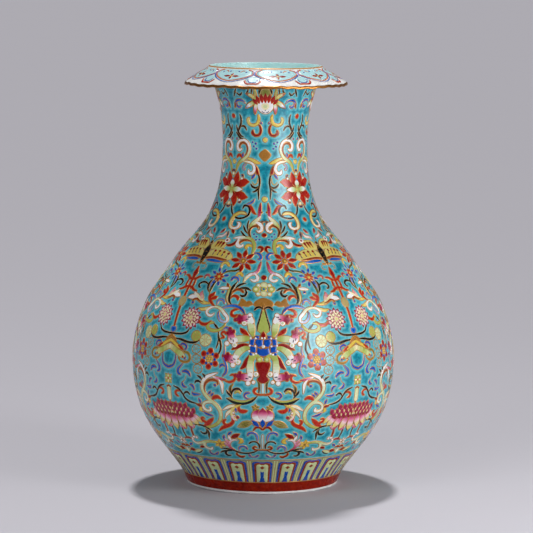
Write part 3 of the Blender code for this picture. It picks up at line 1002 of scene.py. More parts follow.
def rosette_petals(draw):
    """The fan of long petals with curled heads, on the front."""
    stroke = draw.stroke
    leaf = "lime lime pale_green pale_green white"
    stroke("crimson", (6.2, 134, .5), (7, 130.6, 1.5), (7.8, 126.6, 1.9), (9.4, 123.6, .7))
    stroke("crimson", (5.8, 142.8, .4), (8.4, 143, 1.2), (11, 141.2, 1.6), (13.6, 139, .6))
    stroke("iron_red crimson", (6.6, 150.8, .5), (8, 152.6, 1.6), (9.6, 154.6, 1.7),
           (10.4, 156.4, .5))
    stroke("lime lime pale_green white", (1.6, 134.6, 1.2), (4, 134.6, 2.6), (5.6, 131, 2.9),
           (5.6, 125.6, 2.8), (5.4, 119.4, 2.4))
    stroke(leaf, (5.8, 140.6, 1), (8.4, 139.8, 2.3), (10.6, 136.8, 2.7), (12, 132.6, 2.5))
    stroke(leaf, (5.6, 148.2, 1.2), (8, 148, 2.4), (10.8, 147.6, 2.7), (13, 146.6, 2.4))
    stroke(leaf, (4.6, 150.6, 1.2), (5.2, 154.6, 2.6), (5.6, 158.6, 2.8), (6.6, 163, 2.4))
    for places in (((5.4, 162), (7, 165), (11, 164), (8.8, 160.8), (6.4, 167.4)),
                   ((12.2, 146.6), (13.8, 146.4), (14.8, 152.4), (12.6, 142.6), (16.2, 143.6)),
                   ((12, 133), (12.8, 130.6), (15.6, 132.4), (10.8, 128.8), (13, 126.4)),
                   ((5.4, 119), (6, 116.4), (9.8, 117.4), (3, 119.4), (6.4, 112))):
        curled_head(draw, *places)
    draw.dot("lime pale_green", 1.6, 131.4, 2.3, lift=.06)
    draw.dot("white", 4.1, 112.8, 1.5)
    draw.shape("lime", (0, 172), (.9, 168), (1.8, 163), (2.4, 158), (2.4, 155),
               (1.6, 153.4), (0, 152.8), axis=True, lift=.05)
    stroke("black", (.3, 176.6, .2), (.9, 170, .5), (1.8, 164, .6), (2.7, 158, .6),
           (2.7, 154.4, .3), lift=.08)
    stroke("crimson", (0, 153.8, .4), (0, 151, 2.1), (0, 147.8, .5), axis=True, lift=.2)


def rosette_heart(draw):
    """The ochre heart of that flower with its blue cells, and the red drop under it."""
    draw.shape("ochre", (0, 150.8), (3.5, 150.8), (6.1, 148), (6.3, 142), (5.9, 136.4), (2.8, 133.6),
               (0, 133), axis=True, lift=.04, relief=.1, gilt=.2, corners=True)
    cells = (((.3, 147), (2.9, 147.9), (3.6, 145), (2.2, 141.3), (.3, 142.6)),
             ((3.8, 148.2), (5.7, 147.2), (5.9, 143), (4.2, 142.6)),
             ((3.1, 141.2), (5.8, 142.3), (5.6, 137.4), (3.3, 136.8)),
             ((1.9, 150.4), (3.6, 150.2), (3.2, 148.5), (1.9, 148.2)))
    for cell in cells:
        draw.shape("blue", *cell, lift=.12, gilt=.2, corners=True)
    draw.shape("blue", (0, 140.2), (1, 139.6), (2.4, 141), (2.8, 136.6), (1.5, 134.6), (0, 134),
               axis=True, lift=.12, gilt=.2, corners=True)
    draw.dot("blue", 5.3, 135.6, 1.3, lift=.12, gilt=.2)
    for angle, run in ((.6, 148.6), (3.4, 148.4), (5.6, 148.4), (3.5, 142), (5.9, 142.4),
                       (6.1, 138), (3.1, 136), (4.2, 135.2)):
        draw.dot("white", angle, run, .9, lift=.22, gilt=.2)
    draw.dot("white", 0, 141.8, 1.4, axis=True, lift=.22, gilt=.2)
    draw.shape("crimson", (0, 129.4), (1.2, 129.2), (2.9, 128.9), (3, 126.8), (2.5, 123.6),
               (1.9, 120.4), (1.4, 118.2), (1.5, 117), (2.3, 115.8), (2.1, 114), (1, 112.6),
               (0, 112), axis=True, lift=.12)


def beside(angle, run, turn, reach, wide=BELLY_DEGREE):
    """The place reach mm from another, at this turn in degrees from straight up."""
    turn = math.radians(turn)
    return angle + reach * math.sin(turn) / wide, run + reach * math.cos(turn)


def veined(draw, tone, angle, run, radius, lift):
    """The veins of a round leaf."""
    for vein in range(7):
        ends = [(*beside(angle, run, 360 / 7 * vein + 20, share * radius), .14)
                for share in (.15, .5, .9)]
        draw.stroke(tone, *ends, lift=lift, gilt=.14)


def plum_branches(draw):
    """Blue and red plum blossom among round veined leaves, at each side of the rosette."""
    stroke = draw.stroke
    for index in range(6):
        for turn, reach, tone, radius in ((60 * index - 5, 6.4, "iron_red crimson", 2.4),
                                          (60 * index + 25, 4.6, "blue", 1.4),
                                          (60 * index + 25, 2.1, "yellow", 0.9)):
            draw.dot(tone, *beside(23.6, 130.4, turn, reach), radius)
    draw.dot("yellow", 23.6, 130.4, 1.0)
    for tone, angle, run, radius in (("pale_green", 26.4, 145.2, 5.0), ("lime", 31.4, 148, 4.4)):
        draw.dot(tone, angle, run, radius)
        veined(draw, "gold", angle, run, radius, .14)
    for angle, run in ((30.4, 137.6), (29.8, 129.4), (29, 121.6)):
        rim = [(angle + 2.2 * math.sin(turn), run + 3.8 * math.cos(turn), .3)
               for turn in np.linspace(0, 2 * math.pi, 9)]
        stroke("ochre", *rim, gilt=.25)
        veined(draw, "ochre", angle, run, 3.8, 0.0)
    stroke("lilac sky blue", (17, 141.6, .3), (16.9, 137, .7), (17.2, 132, .8), (16.2, 127.6, .9),
           (15.7, 123.4, .9), (16, 120, .9), (17.4, 117, .4))
    stroke("blue", (16.4, 125.2, .4), (17.4, 126.2, .9), (18.4, 125.4, .9), (18.6, 124, .4))
    stroke("brown black", (20.5, 152.6, .4), (20.2, 148.4, .8), (19.1, 144, .8),
           (18.7, 139.6, .8), (19.4, 135.4, .6), (20.4, 132.6, .2))
    stroke("brown", (20.2, 147, .3), (20.3, 143, .6), (20.9, 139, .3))
    stroke("black", (29.3, 144.8, .3), (31.2, 142.8, .8), (35, 142.4, .9), (39, 143.8, .9),
           (42.6, 144.4, .4))
    stroke("black", (35.6, 153.4, .4), (36.6, 150.6, .8), (38.8, 148.8, .8), (42, 148.2, .8),
           (45, 148.1, .6))
    stroke("blue lilac", (15.8, 155.4, .4), (16.8, 156.6, .9), (18, 155.6, .7), (18.4, 154, .3))
    stroke("iron_red", (16.9, 151.4, .8), (18, 153, 1), (19, 151.8, .8), (18.6, 150, .6),
           (17.6, 148.6, .9), (19.2, 147.6, .4))
    stroke("lime", (17.8, 159.4, .4), (18.9, 156.2, .9), (21.4, 153.8, 1.1), (24.4, 153.8, 1.2),
           (26.4, 156.4, 1.2), (25.6, 159.4, 1), (23.6, 160, .6))
    stroke("black", (20.8, 155, .3), (22, 157, .9), (23.4, 159.4, .3))
    stroke("iron_red", (25, 161.4, .3), (26.4, 158.8, 1.1), (28.6, 158, 1.2), (30.6, 159.4, .9),
           (31.4, 161.4, .3))


def chime(draw):
    """The hanging chime stone with its roofed arms, over each lotus."""
    stroke = draw.stroke
    draw.shape("sky blue", (45, 149), (46.3, 150.4), (46.6, 152.6), (45.8, 154), (45, 153.6),
               axis=True)
    stroke("cream lime pale_green", (45, 137.8, 2), (42.6, 136, 2.2), (40, 133.6, 2.2),
           (37.6, 131.6, 2.4), (36.2, 130.8, 1))
    stroke("yellow", (45, 142.8, 1.2), (43, 141, 1.2), (41, 138.8, 1.2), (39.4, 136.8, .6),
           lift=.06)
    stroke("ochre", (45, 146.6, .8), (43.4, 144.6, .9), (42, 142.8, .5), lift=.1)
    stroke("olive ochre", (36.6, 134.2, .6), (34.4, 133.4, .8), (33.2, 130.4, .9),
           (33.6, 127.4, .8), (35.6, 126, .7), (38, 126.6, .6), (39.4, 129, .4))
    draw.dot("violet", 35.8, 129, 1.1)
    draw.dot("iron_red", 37, 130.2, 1.0, lift=.1)
    stroke("iron_red", (37.4, 136, .8), (39, 137.6, 1.2), (40.8, 138.6, 1), (42, 139.4, .4),
           lift=.03)
    stroke("blue", (36.4, 135.6, .4), (35.4, 138, .9), (36.6, 140.2, .9), (38.4, 140.2, .8),
           (39, 138.8, .4))
    stroke("blue", (40.9, 131.4, .3), (41, 127, .7), (42, 122.6, .9), (45, 120.2, 1.1))


def shoulder_front(draw):
    """The ochre mount above the rosette, with the scrolls at its sides."""
    stroke = draw.stroke
    draw.shape("ochre", (0, 182.4), (2.6, 181), (4.4, 178.6), (4.6, 176), (1.2, 175.8), (0, 174),
               axis=True)
    stroke("ochre", (5.8, 177, .8), (7, 177.6, 2.2), (8.8, 176.8, 1.8), (10.4, 178.6, 2.2),
           (11, 180.6, 1.4))
    stroke("ochre", (11, 177, 2.2), (12.2, 175.6, 1))
    stroke("ochre", (0, 178.6, .3), (0, 176.8, .9), (0, 174.6, .5), axis=True, lift=.1)
    stroke("black", (.4, 173, .5), (1.8, 174.6, .8), (3.4, 174.2, .9), (4.3, 172.4, .7), lift=.06)
    stroke("navy blue sky lilac", (8.8, 167, .3), (9.8, 170.8, 1), (12, 174, 1.3),
           (15.4, 175.2, 1.3), (18.2, 174.4, 1.1), (20.6, 172.6, .4))
    stroke("iron_red", (11.8, 172.6, .3), (13.8, 171.9, .9), (15.3, 170, 1.1), (15.3, 167.4, 1.2),
           (13.7, 166.2, 1.1), (12.6, 167.6, .6))


def shoulder_spirals(draw):
    """The pale spirals and the red and yellow blooms at their ends."""
    stroke = draw.stroke
    stroke("white pale_green white white lilac violet", (26.6, 172.4, .4), (24.2, 173.6, .9),
           (21.4, 172.2, 1.2), (19.2, 168.6, 1.3), (17.2, 164.4, 1.2), (17.4, 161.8, 1),
           (19.4, 161.4, 1), (21.2, 163.8, 1), (22, 167.4, .8), (21.8, 170, .3))
    stroke("white", (24.4, 173.6, .5), (27, 172.4, 1.1), (28.4, 169.6, 1.1), (27.6, 166.8, 1),
           (25.6, 165.8, 1), (24.4, 167.6, .6))
    stroke("cream yellow", (26.6, 173.2, .4), (29, 171.4, 1.3), (31.4, 170.6, 1.1),
           (33.2, 171.4, .3))
    stroke("yellow butter cream white", (27.8, 176.2, .4), (31, 176.4, 1.3), (33.8, 178.2, 1.6),
           (36.2, 181.2, 2), (38.2, 183.4, 1.6), (39, 185.2, .5))
    stroke("white", (36.8, 180.6, 1), (38.8, 180.8, 2), (40.8, 180.4, 1.6), (42, 179.6, .4),
           lift=.05)
    stroke("cream pink", (32.6, 178.4, .8), (33.6, 181.6, 1.6), (34.6, 184.4, 1.3),
           (34.4, 186.4, .4))
    stroke("rust", (31.6, 176.6, .3), (34, 177.8, .7), (36.4, 179.6, .9), (37.8, 178.8, .9),
           (38, 177, .5), lift=.08)
    draw.dot("blue", 37.8, 175.8, 1.3)
    stroke("iron_red", (24.8, 173.8, .4), (26.8, 176.6, 1), (28.4, 179.8, 1.3), (28.8, 183, 1.3),
           (28.2, 185, .4))
    stroke("iron_red", (28.2, 179.8, .8), (26.6, 181, 1.4), (25.2, 182, 1.4), (24.6, 182.6, .4))
    stroke("iron_red", (28.4, 182, .8), (27.4, 184.2, 1.4), (26.8, 186, .8))
    stroke("sky lilac", (19.9, 177, .6), (20.8, 179.8, .9), (22.4, 180.3, .9), (23.7, 178.4, .9),
           (23.8, 176, .4))


def shoulder_leaves(draw):
    """The dark leaves, curls and drops above those spirals."""
    stroke = draw.stroke
    stroke("dark_green black", (15.3, 196.6, .4), (16.8, 193, 1.1), (17.9, 188, 1.1),
           (18, 183, 1), (17.4, 178.6, .8), (16.2, 176.2, .3))
    stroke("dark_green", (10, 196, .3), (12.4, 195, .9), (14.4, 193, .9), (15.4, 191.2, .3))
    stroke("dark_green", (7, 189.4, .5), (9, 191.2, 1.1), (11.4, 191.6, .9), (13.6, 190.8, .3))
    stroke("black", (10, 190, .4), (9.2, 187.4, .9), (9.8, 184.8, 1), (11.4, 184, .9),
           (12.4, 185.2, .4))
    stroke("rust", (10.9, 187.6, .8), (12.4, 189.8, 1), (14.6, 190, 1), (16.4, 187.8, .8),
           (17.2, 184.8, .3))
    stroke("iron_red", (13.2, 180.8, .8), (13.4, 182.6, 1.2), (14.8, 184, 1.1), (16.4, 183.6, .8),
           (17.2, 181.6, .3))
    draw.dot("crimson", 0, 201.4, 2.2, axis=True)
    stroke("magenta pink white pale_green", (1.9, 216, .3), (2.8, 212, 1), (3.4, 208.4, 1),
           (5.2, 205.6, 1.2), (8.6, 203.8, 1.2), (10.8, 200.6, 1.1), (11.6, 197, .4))
    stroke("white", (5.4, 204.8, .5), (3.9, 202.4, 1.1), (3.8, 199.8, 1.2), (5.6, 198.4, 1.2),
           (7.4, 199.4, .7))
    stroke("sky blue", (14.5, 197.8, .7), (15.2, 200.2, 1), (16.8, 201.3, 1.1), (18.4, 200, 1.1),
           (18.8, 198, .6))
    stroke("crimson", (19.6, 192.4, .4), (20.2, 193.6, 1), (20.8, 195.2, .3))
    stroke("white", (19.6, 190.8, .8), (21.4, 190.8, 1.3), (23.4, 190.6, 1.1), (24.8, 190, .3))
    stroke("lime cream", (18.8, 192, .5), (18.9, 188, .9), (19.2, 184, .8), (18.8, 180, .6),
           (17.6, 176.6, .3), lift=.05)
    draw.dot("violet", 22.1, 187.2, 1.2)


def shoulder_flower(draw):
    """The pale lobed flower under the red drop, over the rosette."""
    draw.dot("pale_green cream", 0, 194.6, 2.8, axis=True)
    draw.dot("pale_green cream", 0, 187, 2.8, axis=True)
    draw.dot("lime cream", 4.2, 190.7, 2.8)
    draw.dot("pale_green white", 3, 194.3, 1.8, lift=.04)
    draw.dot("pale_green white", 3, 186.4, 1.8, lift=.04)
    draw.dot("lime", 0, 190.8, 2.2, axis=True, lift=.08)
    draw.dot("blue", 0, 190.8, 1.2, axis=True, lift=.14)


def star_flowers(draw):
    """The red and blue star flowers, with their stems."""
    stroke = draw.stroke
    draw.petals("iron_red", 27.2, 201, 1.2, 3.9, 1.0, 8)
    draw.petals("blue", 27.2, 201, 4.6, 8.2, 1.25, 8, phase=12, gilt=.45)
    draw.dot("yellow", 27.2, 201, 1.3, lift=.1)
    stroke("black olive", (28, 197, .4), (29.2, 193, 1), (29.8, 188.6, .9), (29.7, 184, .3))
    stroke("black", (30.6, 198.4, .3), (32, 194.4, .9), (31.8, 190, .9), (30.6, 186.4, .3))
    stroke("lilac", (29.6, 196.4, .5), (30.4, 194, 1.2), (30.4, 191, .5))
    stroke("black", (32.4, 193.2, .4), (34.4, 194.9, .8), (37, 194.6, .9), (38.4, 192.4, .9),
           (37.8, 190.2, .8), (36.6, 189.6, .4))
    stroke("pink magenta", (33.4, 200.6, .4), (35, 201.8, .8), (36.6, 200.6, .8),
           (36.4, 198.6, .4))
    draw.petals("iron_red crimson", 13.8, 216.6, 3.8, 9.6, 1.9, 8, phase=-5)
    for index in range(8):
        draw.dot("blue", *beside(13.8, 216.6, 45 * index + 18, 3.3, SHOULDER_DEGREE), .6,
                 lift=.05, gilt=.2)
    draw.dot("ochre", 13.8, 216.6, 2.4)
    draw.dot("yellow", 13.8, 216.6, 1.0, lift=.12)


def chrysanthemums(draw):
    """The pink chrysanthemums at each side of the pendants: pale petals, magenta edges."""
    draw.edging = "magenta"
    draw.petals("cream cream pale_pink crimson", 36.2, 162.4, 4.8, 8.8, 1.5, 13, gilt=.8)
    draw.petals("butter cream cream magenta", 36.2, 162.4, 2.4, 6.2, 1.3, 9, lift=.08, phase=12,
                gilt=.75)
    draw.petals("butter cream pink", 36.2, 162.4, .4, 3.4, 1.0, 6, lift=.16, gilt=.6)


def pendants(draw):
    """The red rods and gilt disc that hang under each butterfly."""
    stroke = draw.stroke
    stroke("iron_red", (45, 154.4, .8), (45, 162, 1.1), (45, 171, 1.1), axis=True)
    stroke("iron_red", (45, 181, 1.1), (45, 190, 1.1), (45, 199, 1.1), axis=True)
    draw.dot("tan", 45, 176, 3.6, axis=True, tall=1.35)
    stroke("iron_red", (42.6, 197.6, .5), (42.2, 194, .9), (42.4, 190, .9), (43.4, 187.4, .4))
    stroke("iron_red", (44.6, 196.6, .9), (42.4, 197.4, 1.1), (40.4, 199.4, 1), (38.4, 199.6, .5))
    stroke("iron_red", (44.6, 189.6, .9), (42.4, 189, 1.1), (40.6, 187, 1), (38.2, 186.2, .4))
    draw.shape("iron_red crimson", (45, 209), (43.9, 205.4), (43.4, 202.6), (44, 199.6),
               (44.4, 197), (45, 196.6), axis=True, lift=.05)


# ---------------------------------------------------------------- painting, shoulder to mouth

def butterflies(draw):
    """The pairs of yellow wings on a black body, over each pendant."""
    stroke = draw.stroke
    draw.shape("butter yellow", (42.4, 221.8), (40.4, 225), (36, 227), (31, 226.8), (26.6, 225),
               (23.2, 222), (22.2, 219.2), (24.2, 217), (28, 217.2), (33, 218.8), (38, 219),
               (42, 218.2))
    for angle, run in ((26.2, 221), (30, 222.2), (33.8, 223), (37.8, 223)):
        draw.dot("crimson", angle - .6, run + 1.8, 1.25, lift=.12, gilt=.2)
        stroke("navy", (angle - .2, run + .4, .35), (angle + .4, run - 2, .5), lift=.12, gilt=.1)
    stroke("rust", (26, 216.8, .5), (31, 217.4, 1), (35.6, 218.2, 1), (40, 218, 1),
           (42.4, 217.2, .6), lift=.08)
    stroke("sky blue", (27.8, 214.6, .4), (31.6, 215, 1.2), (36, 215.6, 1.5), (39.8, 215.6, 1),
           (41, 215.4, .4))
    draw.shape("butter yellow", (43.6, 228.4), (42.4, 232), (40, 235), (36.4, 236), (32.6, 234.8),
               (30.8, 231.4), (31.6, 228.4), (34.4, 227), (38.6, 226.6), (42.4, 226.6))
    for angle, run in ((33.8, 230), (36.4, 230.6), (39, 230.4)):
        stroke("crimson", (angle - .7, run + 2.8, 1.3), (angle, run, .6),
               (angle + .5, run - 1.8, .3), lift=.12, gilt=.2)
    draw.shape("black", (45, 230.4), (43.4, 228.6), (42.4, 224), (43.1, 219), (44.1, 213),
               (45, 211), axis=True, lift=.05)
    for run, radius, tall in ((232.6, 1.4, 1), (228.4, 1.1, 1), (222, 1.5, 2.2), (215.4, 1.3, 3)):
        draw.dot("black", 45, run, radius, axis=True, tall=tall, lift=.12)
    for run in (214, 218.6, 223.2):
        stroke("gold", (44.3, run, .14), (45, run, .16), (45.7, run, .14), axis=True, lift=.26,
               gilt=.08)
    stroke("ochre", (41, 213, .3), (42.6, 211.8, .6), (44, 212.6, .3))
    stroke("ochre", (42.4, 212, .2), (39.4, 210.4, .35), (39.8, 207.6, .35), (42, 207.4, .2),
           gilt=.2)
    stroke("black", (44.4, 234, .2), (43, 237, .3), (41.8, 238.4, .3), gilt=.2)


def neck_foot_curls(draw):
    """The yellow, red and pale curls where the shoulder runs into the neck."""
    stroke = draw.stroke
    stroke("black olive", (14.2, 213, .3), (14.9, 209.8, .7), (17.4, 207.4, .8), (21, 206.8, .8),
           (23.8, 205.4, .7), (25.6, 203.2, .3))
    stroke("yellow", (12.8, 202.8, .8), (14, 205, 1.1), (15.8, 204.6, 1), (16.6, 202.4, .4))
    stroke("yellow butter", (22.8, 211.4, .8), (24.2, 213.8, 1.1), (26.6, 214, 1), (28, 211.4, .9),
           (27.8, 208.6, .3))
    stroke("yellow", (9.6, 230.6, .5), (11, 232, 1), (13, 231.6, 1.2), (13.9, 229.8, 1.2),
           (13, 228.6, .7))
    stroke("blue sky", (7, 224, .3), (4.8, 224.2, .9), (2.8, 222.8, 1.1), (2, 220.4, 1.2),
           (2.6, 218.6, 1.1), (4, 218.6, .6))
    stroke("crimson", (2.8, 225.2, .4), (1.5, 227, 1), (1.3, 229, 1.2), (2.8, 230.4, 1.2),
           (4.3, 229.6, .8))
    stroke("lime lime lime pale_green white white", (8.6, 223.4, .5), (7.7, 227.4, 1.2),
           (7.6, 231.4, 1.3), (8.8, 235.6, 1.3), (11.6, 238.2, 1.2), (15.4, 239.4, 1.3),
           (20, 239.2, 1.4), (23.6, 238.8, .9), (26, 238.2, .3))
    stroke("rust", (10.4, 235.8, .4), (13.4, 236.9, .8), (16.8, 236.5, .9), (19, 234.8, .9),
           (19.4, 233.4, .5))
    stroke("white", (21, 238.6, .6), (21.8, 235.4, 1.3), (21.2, 232.2, 1.6), (19.4, 230.6, 1.6),
           (17.4, 231.2, 1.2), (16.8, 232.4, .5))
    stroke("crimson", (22, 236.8, .4), (23.4, 233.8, 1.1), (25.8, 231.6, 1.2), (28.4, 231, 1),
           (30.4, 231.6, .4))


def neck_foot_drops(draw):
    """Drops, berries and dark sprays between those curls."""
    stroke = draw.stroke
    draw.dot("white cream", 31, 235.8, 2.4)
    draw.dot("crimson", 31, 235.8, 1.2, lift=.12)
    for angle, run in ((3.8, 237.6), (6.4, 240.4), (6.6, 237.2), (8.8, 242.8)):
        draw.dot("violet", angle, run, .9, gilt=.3)
    draw.dot("crimson", 0, 242, 2.0, axis=True)
    stroke("rust brown", (5.8, 248.6, .5), (6.2, 250, .8), (8.4, 250.6, .8), (11, 249.8, .8),
           (13, 247.6, .8), (13.6, 245, .9), (12.9, 242.4, .8), (11.6, 240.2, .5))
    for knots in (((15.6, 255.4, .3), (16.1, 252, .7), (15.7, 248.4, .5), (14.8, 246, .2)),
                  ((20, 250.8, .3), (18.6, 248, .7), (16.4, 245, .6), (14.6, 243.2, .2)),
                  ((21.4, 245.4, .3), (19, 243, .7), (16, 240.4, .6), (12, 238.4, .3))):
        stroke("black", *knots)
    stroke("crimson", (27.8, 243.4, .8), (29, 245.2, 1.3), (30.8, 247.6, .6))
    stroke("navy", (32.6, 239, .4), (32.9, 241.6, .8), (33.4, 244.4, .3))
    stroke("pale_pink white pale_pink", (35.4, 243.6, .4), (36, 241.2, .9), (38.4, 239.4, 1.1),
           (41.2, 238.8, .9), (42.8, 237, .4))
    stroke("crimson magenta pink", (38.4, 246.6, .5), (39.4, 244.8, 1.1), (41, 242.8, .7))
    draw.dot("iron_red", 45, 255.6, 1.9, axis=True)


def neck_foot_spirals(draw):
    """The pale and yellow spirals under the neck's flowers."""
    stroke = draw.stroke
    stroke("magenta magenta pink", (4.2, 270.5, .4), (4.6, 267.5, 1), (5, 264, 1.3),
           (5.2, 261, 1.2), (5.6, 258.8, .8))
    draw.dot("crimson", 2.8, 262.8, .7)
    stroke("white cream pale_green lime", (4.6, 259, .8), (7, 256.4, 1.5), (9.6, 254, 1.8),
           (12, 252, 1.5), (13.8, 249.6, .7))
    stroke("white", (8, 253.6, .8), (6.4, 253.4, 1.2), (4, 252, 1.5), (2.4, 249.5, 1.3),
           (2.8, 246.8, 1.2), (5, 245.4, 1.1), (6.6, 246.2, .6), lift=.04)
    stroke("navy", (.8, 254.4, .3), (2.2, 254.2, .7), (3.8, 253.9, .3), lift=.06)
    stroke("iron_red", (8.8, 261, .3), (11.5, 262.6, 1.1), (13.5, 265, 1.3), (16, 267.4, 1.1),
           (18, 268, .4))
    stroke("blue lilac", (11.6, 274, .3), (13.5, 271.8, .8), (16, 270.4, 1), (18.5, 269.6, .8),
           (21, 268.9, .3))
    stroke("black", (24.4, 265.6, .5), (23.6, 267.6, .8), (20.6, 268.2, .8), (17.4, 266.8, .8),
           (16, 263.6, .9), (16.8, 260.8, .9), (19.8, 258.6, .8), (24, 257.2, .8), (28, 257, .8),
           (31.6, 258, .7))
    stroke("butter butter yellow cream white white", (19.8, 260.8, .5), (22, 261.6, .9),
           (25.5, 261.9, 1), (29, 261.2, 1.1), (32, 259.6, 1.2), (34.2, 256.6, 1.3),
           (34.9, 253, 1.3), (33.8, 249.6, 1.2), (31, 247.9, 1.2), (27.6, 248, 1.1),
           (25.2, 249.8, 1.2), (25, 252.2, 1.2), (26.8, 253.2, .6), lift=.04)
    stroke("black brown", (39.9, 268.6, .5), (39, 265.6, .8), (37.2, 262.2, .8), (35.2, 260, .5))


def neck_flowers(draw):
    """The red flowers with pale hearts round the neck."""
    stroke = draw.stroke
    red = "crimson iron_red iron_red"
    stroke(red, (42.5, 284.5, 1), (39.6, 288.6, 3), (38.2, 292.4, 2.4), (37.4, 295.4, .6))
    stroke(red, (38.5, 283.6, 1), (31.6, 286.2, 3), (25.8, 287.8, 2.8), (21, 288, .7))
    stroke(red, (38.5, 279.6, 1), (31.6, 277.2, 3), (26, 275.6, 2.8), (21.4, 275.2, .7))
    stroke(red, (42.5, 278.8, 1), (39.2, 274.8, 3), (37.6, 271, 2.4), (37.2, 267.8, .6))
    heart = "lime pale_green white white"
    stroke(heart, (45, 283, 1.2), (45, 286.4, 2.5), (45, 290, .5), axis=True, lift=.06)
    stroke(heart, (45, 280.2, 1.2), (45, 276.8, 2.5), (45, 273, .5), axis=True, lift=.06)
    stroke(heart, (42.6, 281.6, 1.2), (36.6, 281.5, 2.3), (28.6, 281.6, .4), lift=.08)
    draw.dot("lime", 45, 281.6, 1.3, axis=True, lift=.2)
    stroke("violet", (43.6, 288.6, .2), (45, 290, .4), lift=.1, gilt=.2)
    stroke("violet", (43.6, 274, .2), (45, 272.6, .4), lift=.1, gilt=.2)
    draw.dot("pale_green white", 45, 294.4, 1.6, axis=True)
    stroke("navy", (42.2, 295.6, .3), (43.4, 296.8, .7), (45, 297.2, .8))
    draw.dot("cream", 45, 269.6, 1.6, axis=True)
    stroke("navy", (41.8, 268.2, .3), (43.4, 267, .7), (45, 266.8, .8))
    draw.dot("white", 30.8, 290.6, 1.1)
    stroke("navy", (28.4, 291.8, .3), (29.6, 293, .9), (31.4, 293.4, .5))
    draw.dot("white", 30.8, 272.6, 1.1)
    stroke("navy", (28.2, 271.6, .3), (29.8, 270.8, .8), (31.6, 270.8, .4))
    draw.dot("butter yellow", 45, 304.4, 1.9, axis=True)


def neck_stalks(draw):
    """The black stalks on the front of the neck, and the mount over them."""
    stroke = draw.stroke
    draw.dot("butter yellow", 0, 273.8, 2.2, axis=True)
    draw.dot("butter yellow", 0, 322.8, 1.9, axis=True)
    draw.shape("ochre", (0, 314.8), (3.6, 313.4), (7.6, 310.4), (4, 307.4), (0, 305.6), axis=True)
    stroke("black dark_green black", (6.7, 273.6, .3), (7.2, 278, .7), (7.6, 281, .7),
           (6.8, 284.4, .7), (6.3, 288, .8), (6.9, 291.5, .8), (8.2, 294, .5))
    stroke("dark_green black", (8, 284.4, .4), (10.5, 283.4, .7), (13.5, 283.6, .8),
           (16.5, 285, .7), (17.6, 286.4, .4))
    stroke("tan", (8.9, 291, .3), (9.4, 287.7, .5), (11.5, 286, .5), (14.5, 286.6, .5),
           (16, 288, .3), gilt=.3)
    stroke("black", (8, 283, .3), (9.6, 281.6, .7), (12, 280.3, .7), (14.6, 279.8, .3))
    stroke("crimson", (7.8, 294.4, .5), (9.6, 295.8, 1.2), (10.4, 298, 1.1), (11.2, 300, .7),
           (12.4, 301.4, .3), lift=.04)
    stroke("blue", (12.2, 294.8, .3), (13.8, 293.6, .9), (15.4, 292.2, 1), (16.8, 290.6, .4))


def great_spiral(draw):
    """The great pale spiral of the neck, with what curls out of it."""
    stroke = draw.stroke
    stroke("yellow butter", (6, 303.6, .3), (10, 304, 1.2), (14, 305.2, 1.3), (18, 306.4, 1.1),
           (23, 307.2, .8))
    stroke("lime lime pale_green pale_green white white white white white", (40.6, 296.6, .4),
           (39.6, 300, .9), (36.5, 303.4, 1.1), (31.5, 305.8, 1.2), (26.5, 308, 1.2),
           (22.6, 311.4, 1.1), (21.2, 315.2, 1.1), (22.8, 319, 1.1), (27, 321.8, 1.1),
           (32.5, 322.2, 1.1), (37.6, 320.4, 1.1), (39.8, 317.4, 1.2), (38.8, 314.8, 1.3),
           (35.6, 314, 1.2), (33, 315, .6))
    stroke("rust", (27.6, 309.4, .3), (24.8, 312, .6), (23.7, 315, .7), (25, 318, .7),
           (29, 319.9, .7), (33.5, 319.4, .7), (36, 317.6, .7), (35.8, 316.4, .5))
    stroke("cream white white", (29.6, 305, .5), (25, 304.6, .9), (19, 303.8, 1), (14.8, 301.4, 1.1),
           (13.8, 298.6, 1.2), (15.4, 296.2, 1.2), (18.8, 295, 1.2), (21.6, 295.8, 1.1),
           (22, 297.4, .7))
    stroke("lilac", (26, 302.4, .4), (28.5, 301.6, .7), (30, 299.6, .6), (28.6, 298, .6),
           (26.8, 299, .3))
    stroke("blue", (30.2, 311.4, .5), (31, 309.8, 1), (31.2, 308.2, .4))
    stroke("iron_red", (31.6, 307.2, .4), (33.8, 309, 1), (36.8, 309.8, 1.1), (39.2, 308.8, .9),
           (40.4, 307.6, .5))
    for tone, angle, run, radius in (("blue", 12.4, 319.8, 1.0), ("blue", 11.4, 315.6, .9),
                                     ("violet", 15, 317.4, .9), ("violet", 16.8, 320.8, .8)):
        draw.dot(tone, angle, run, radius, gilt=.35)


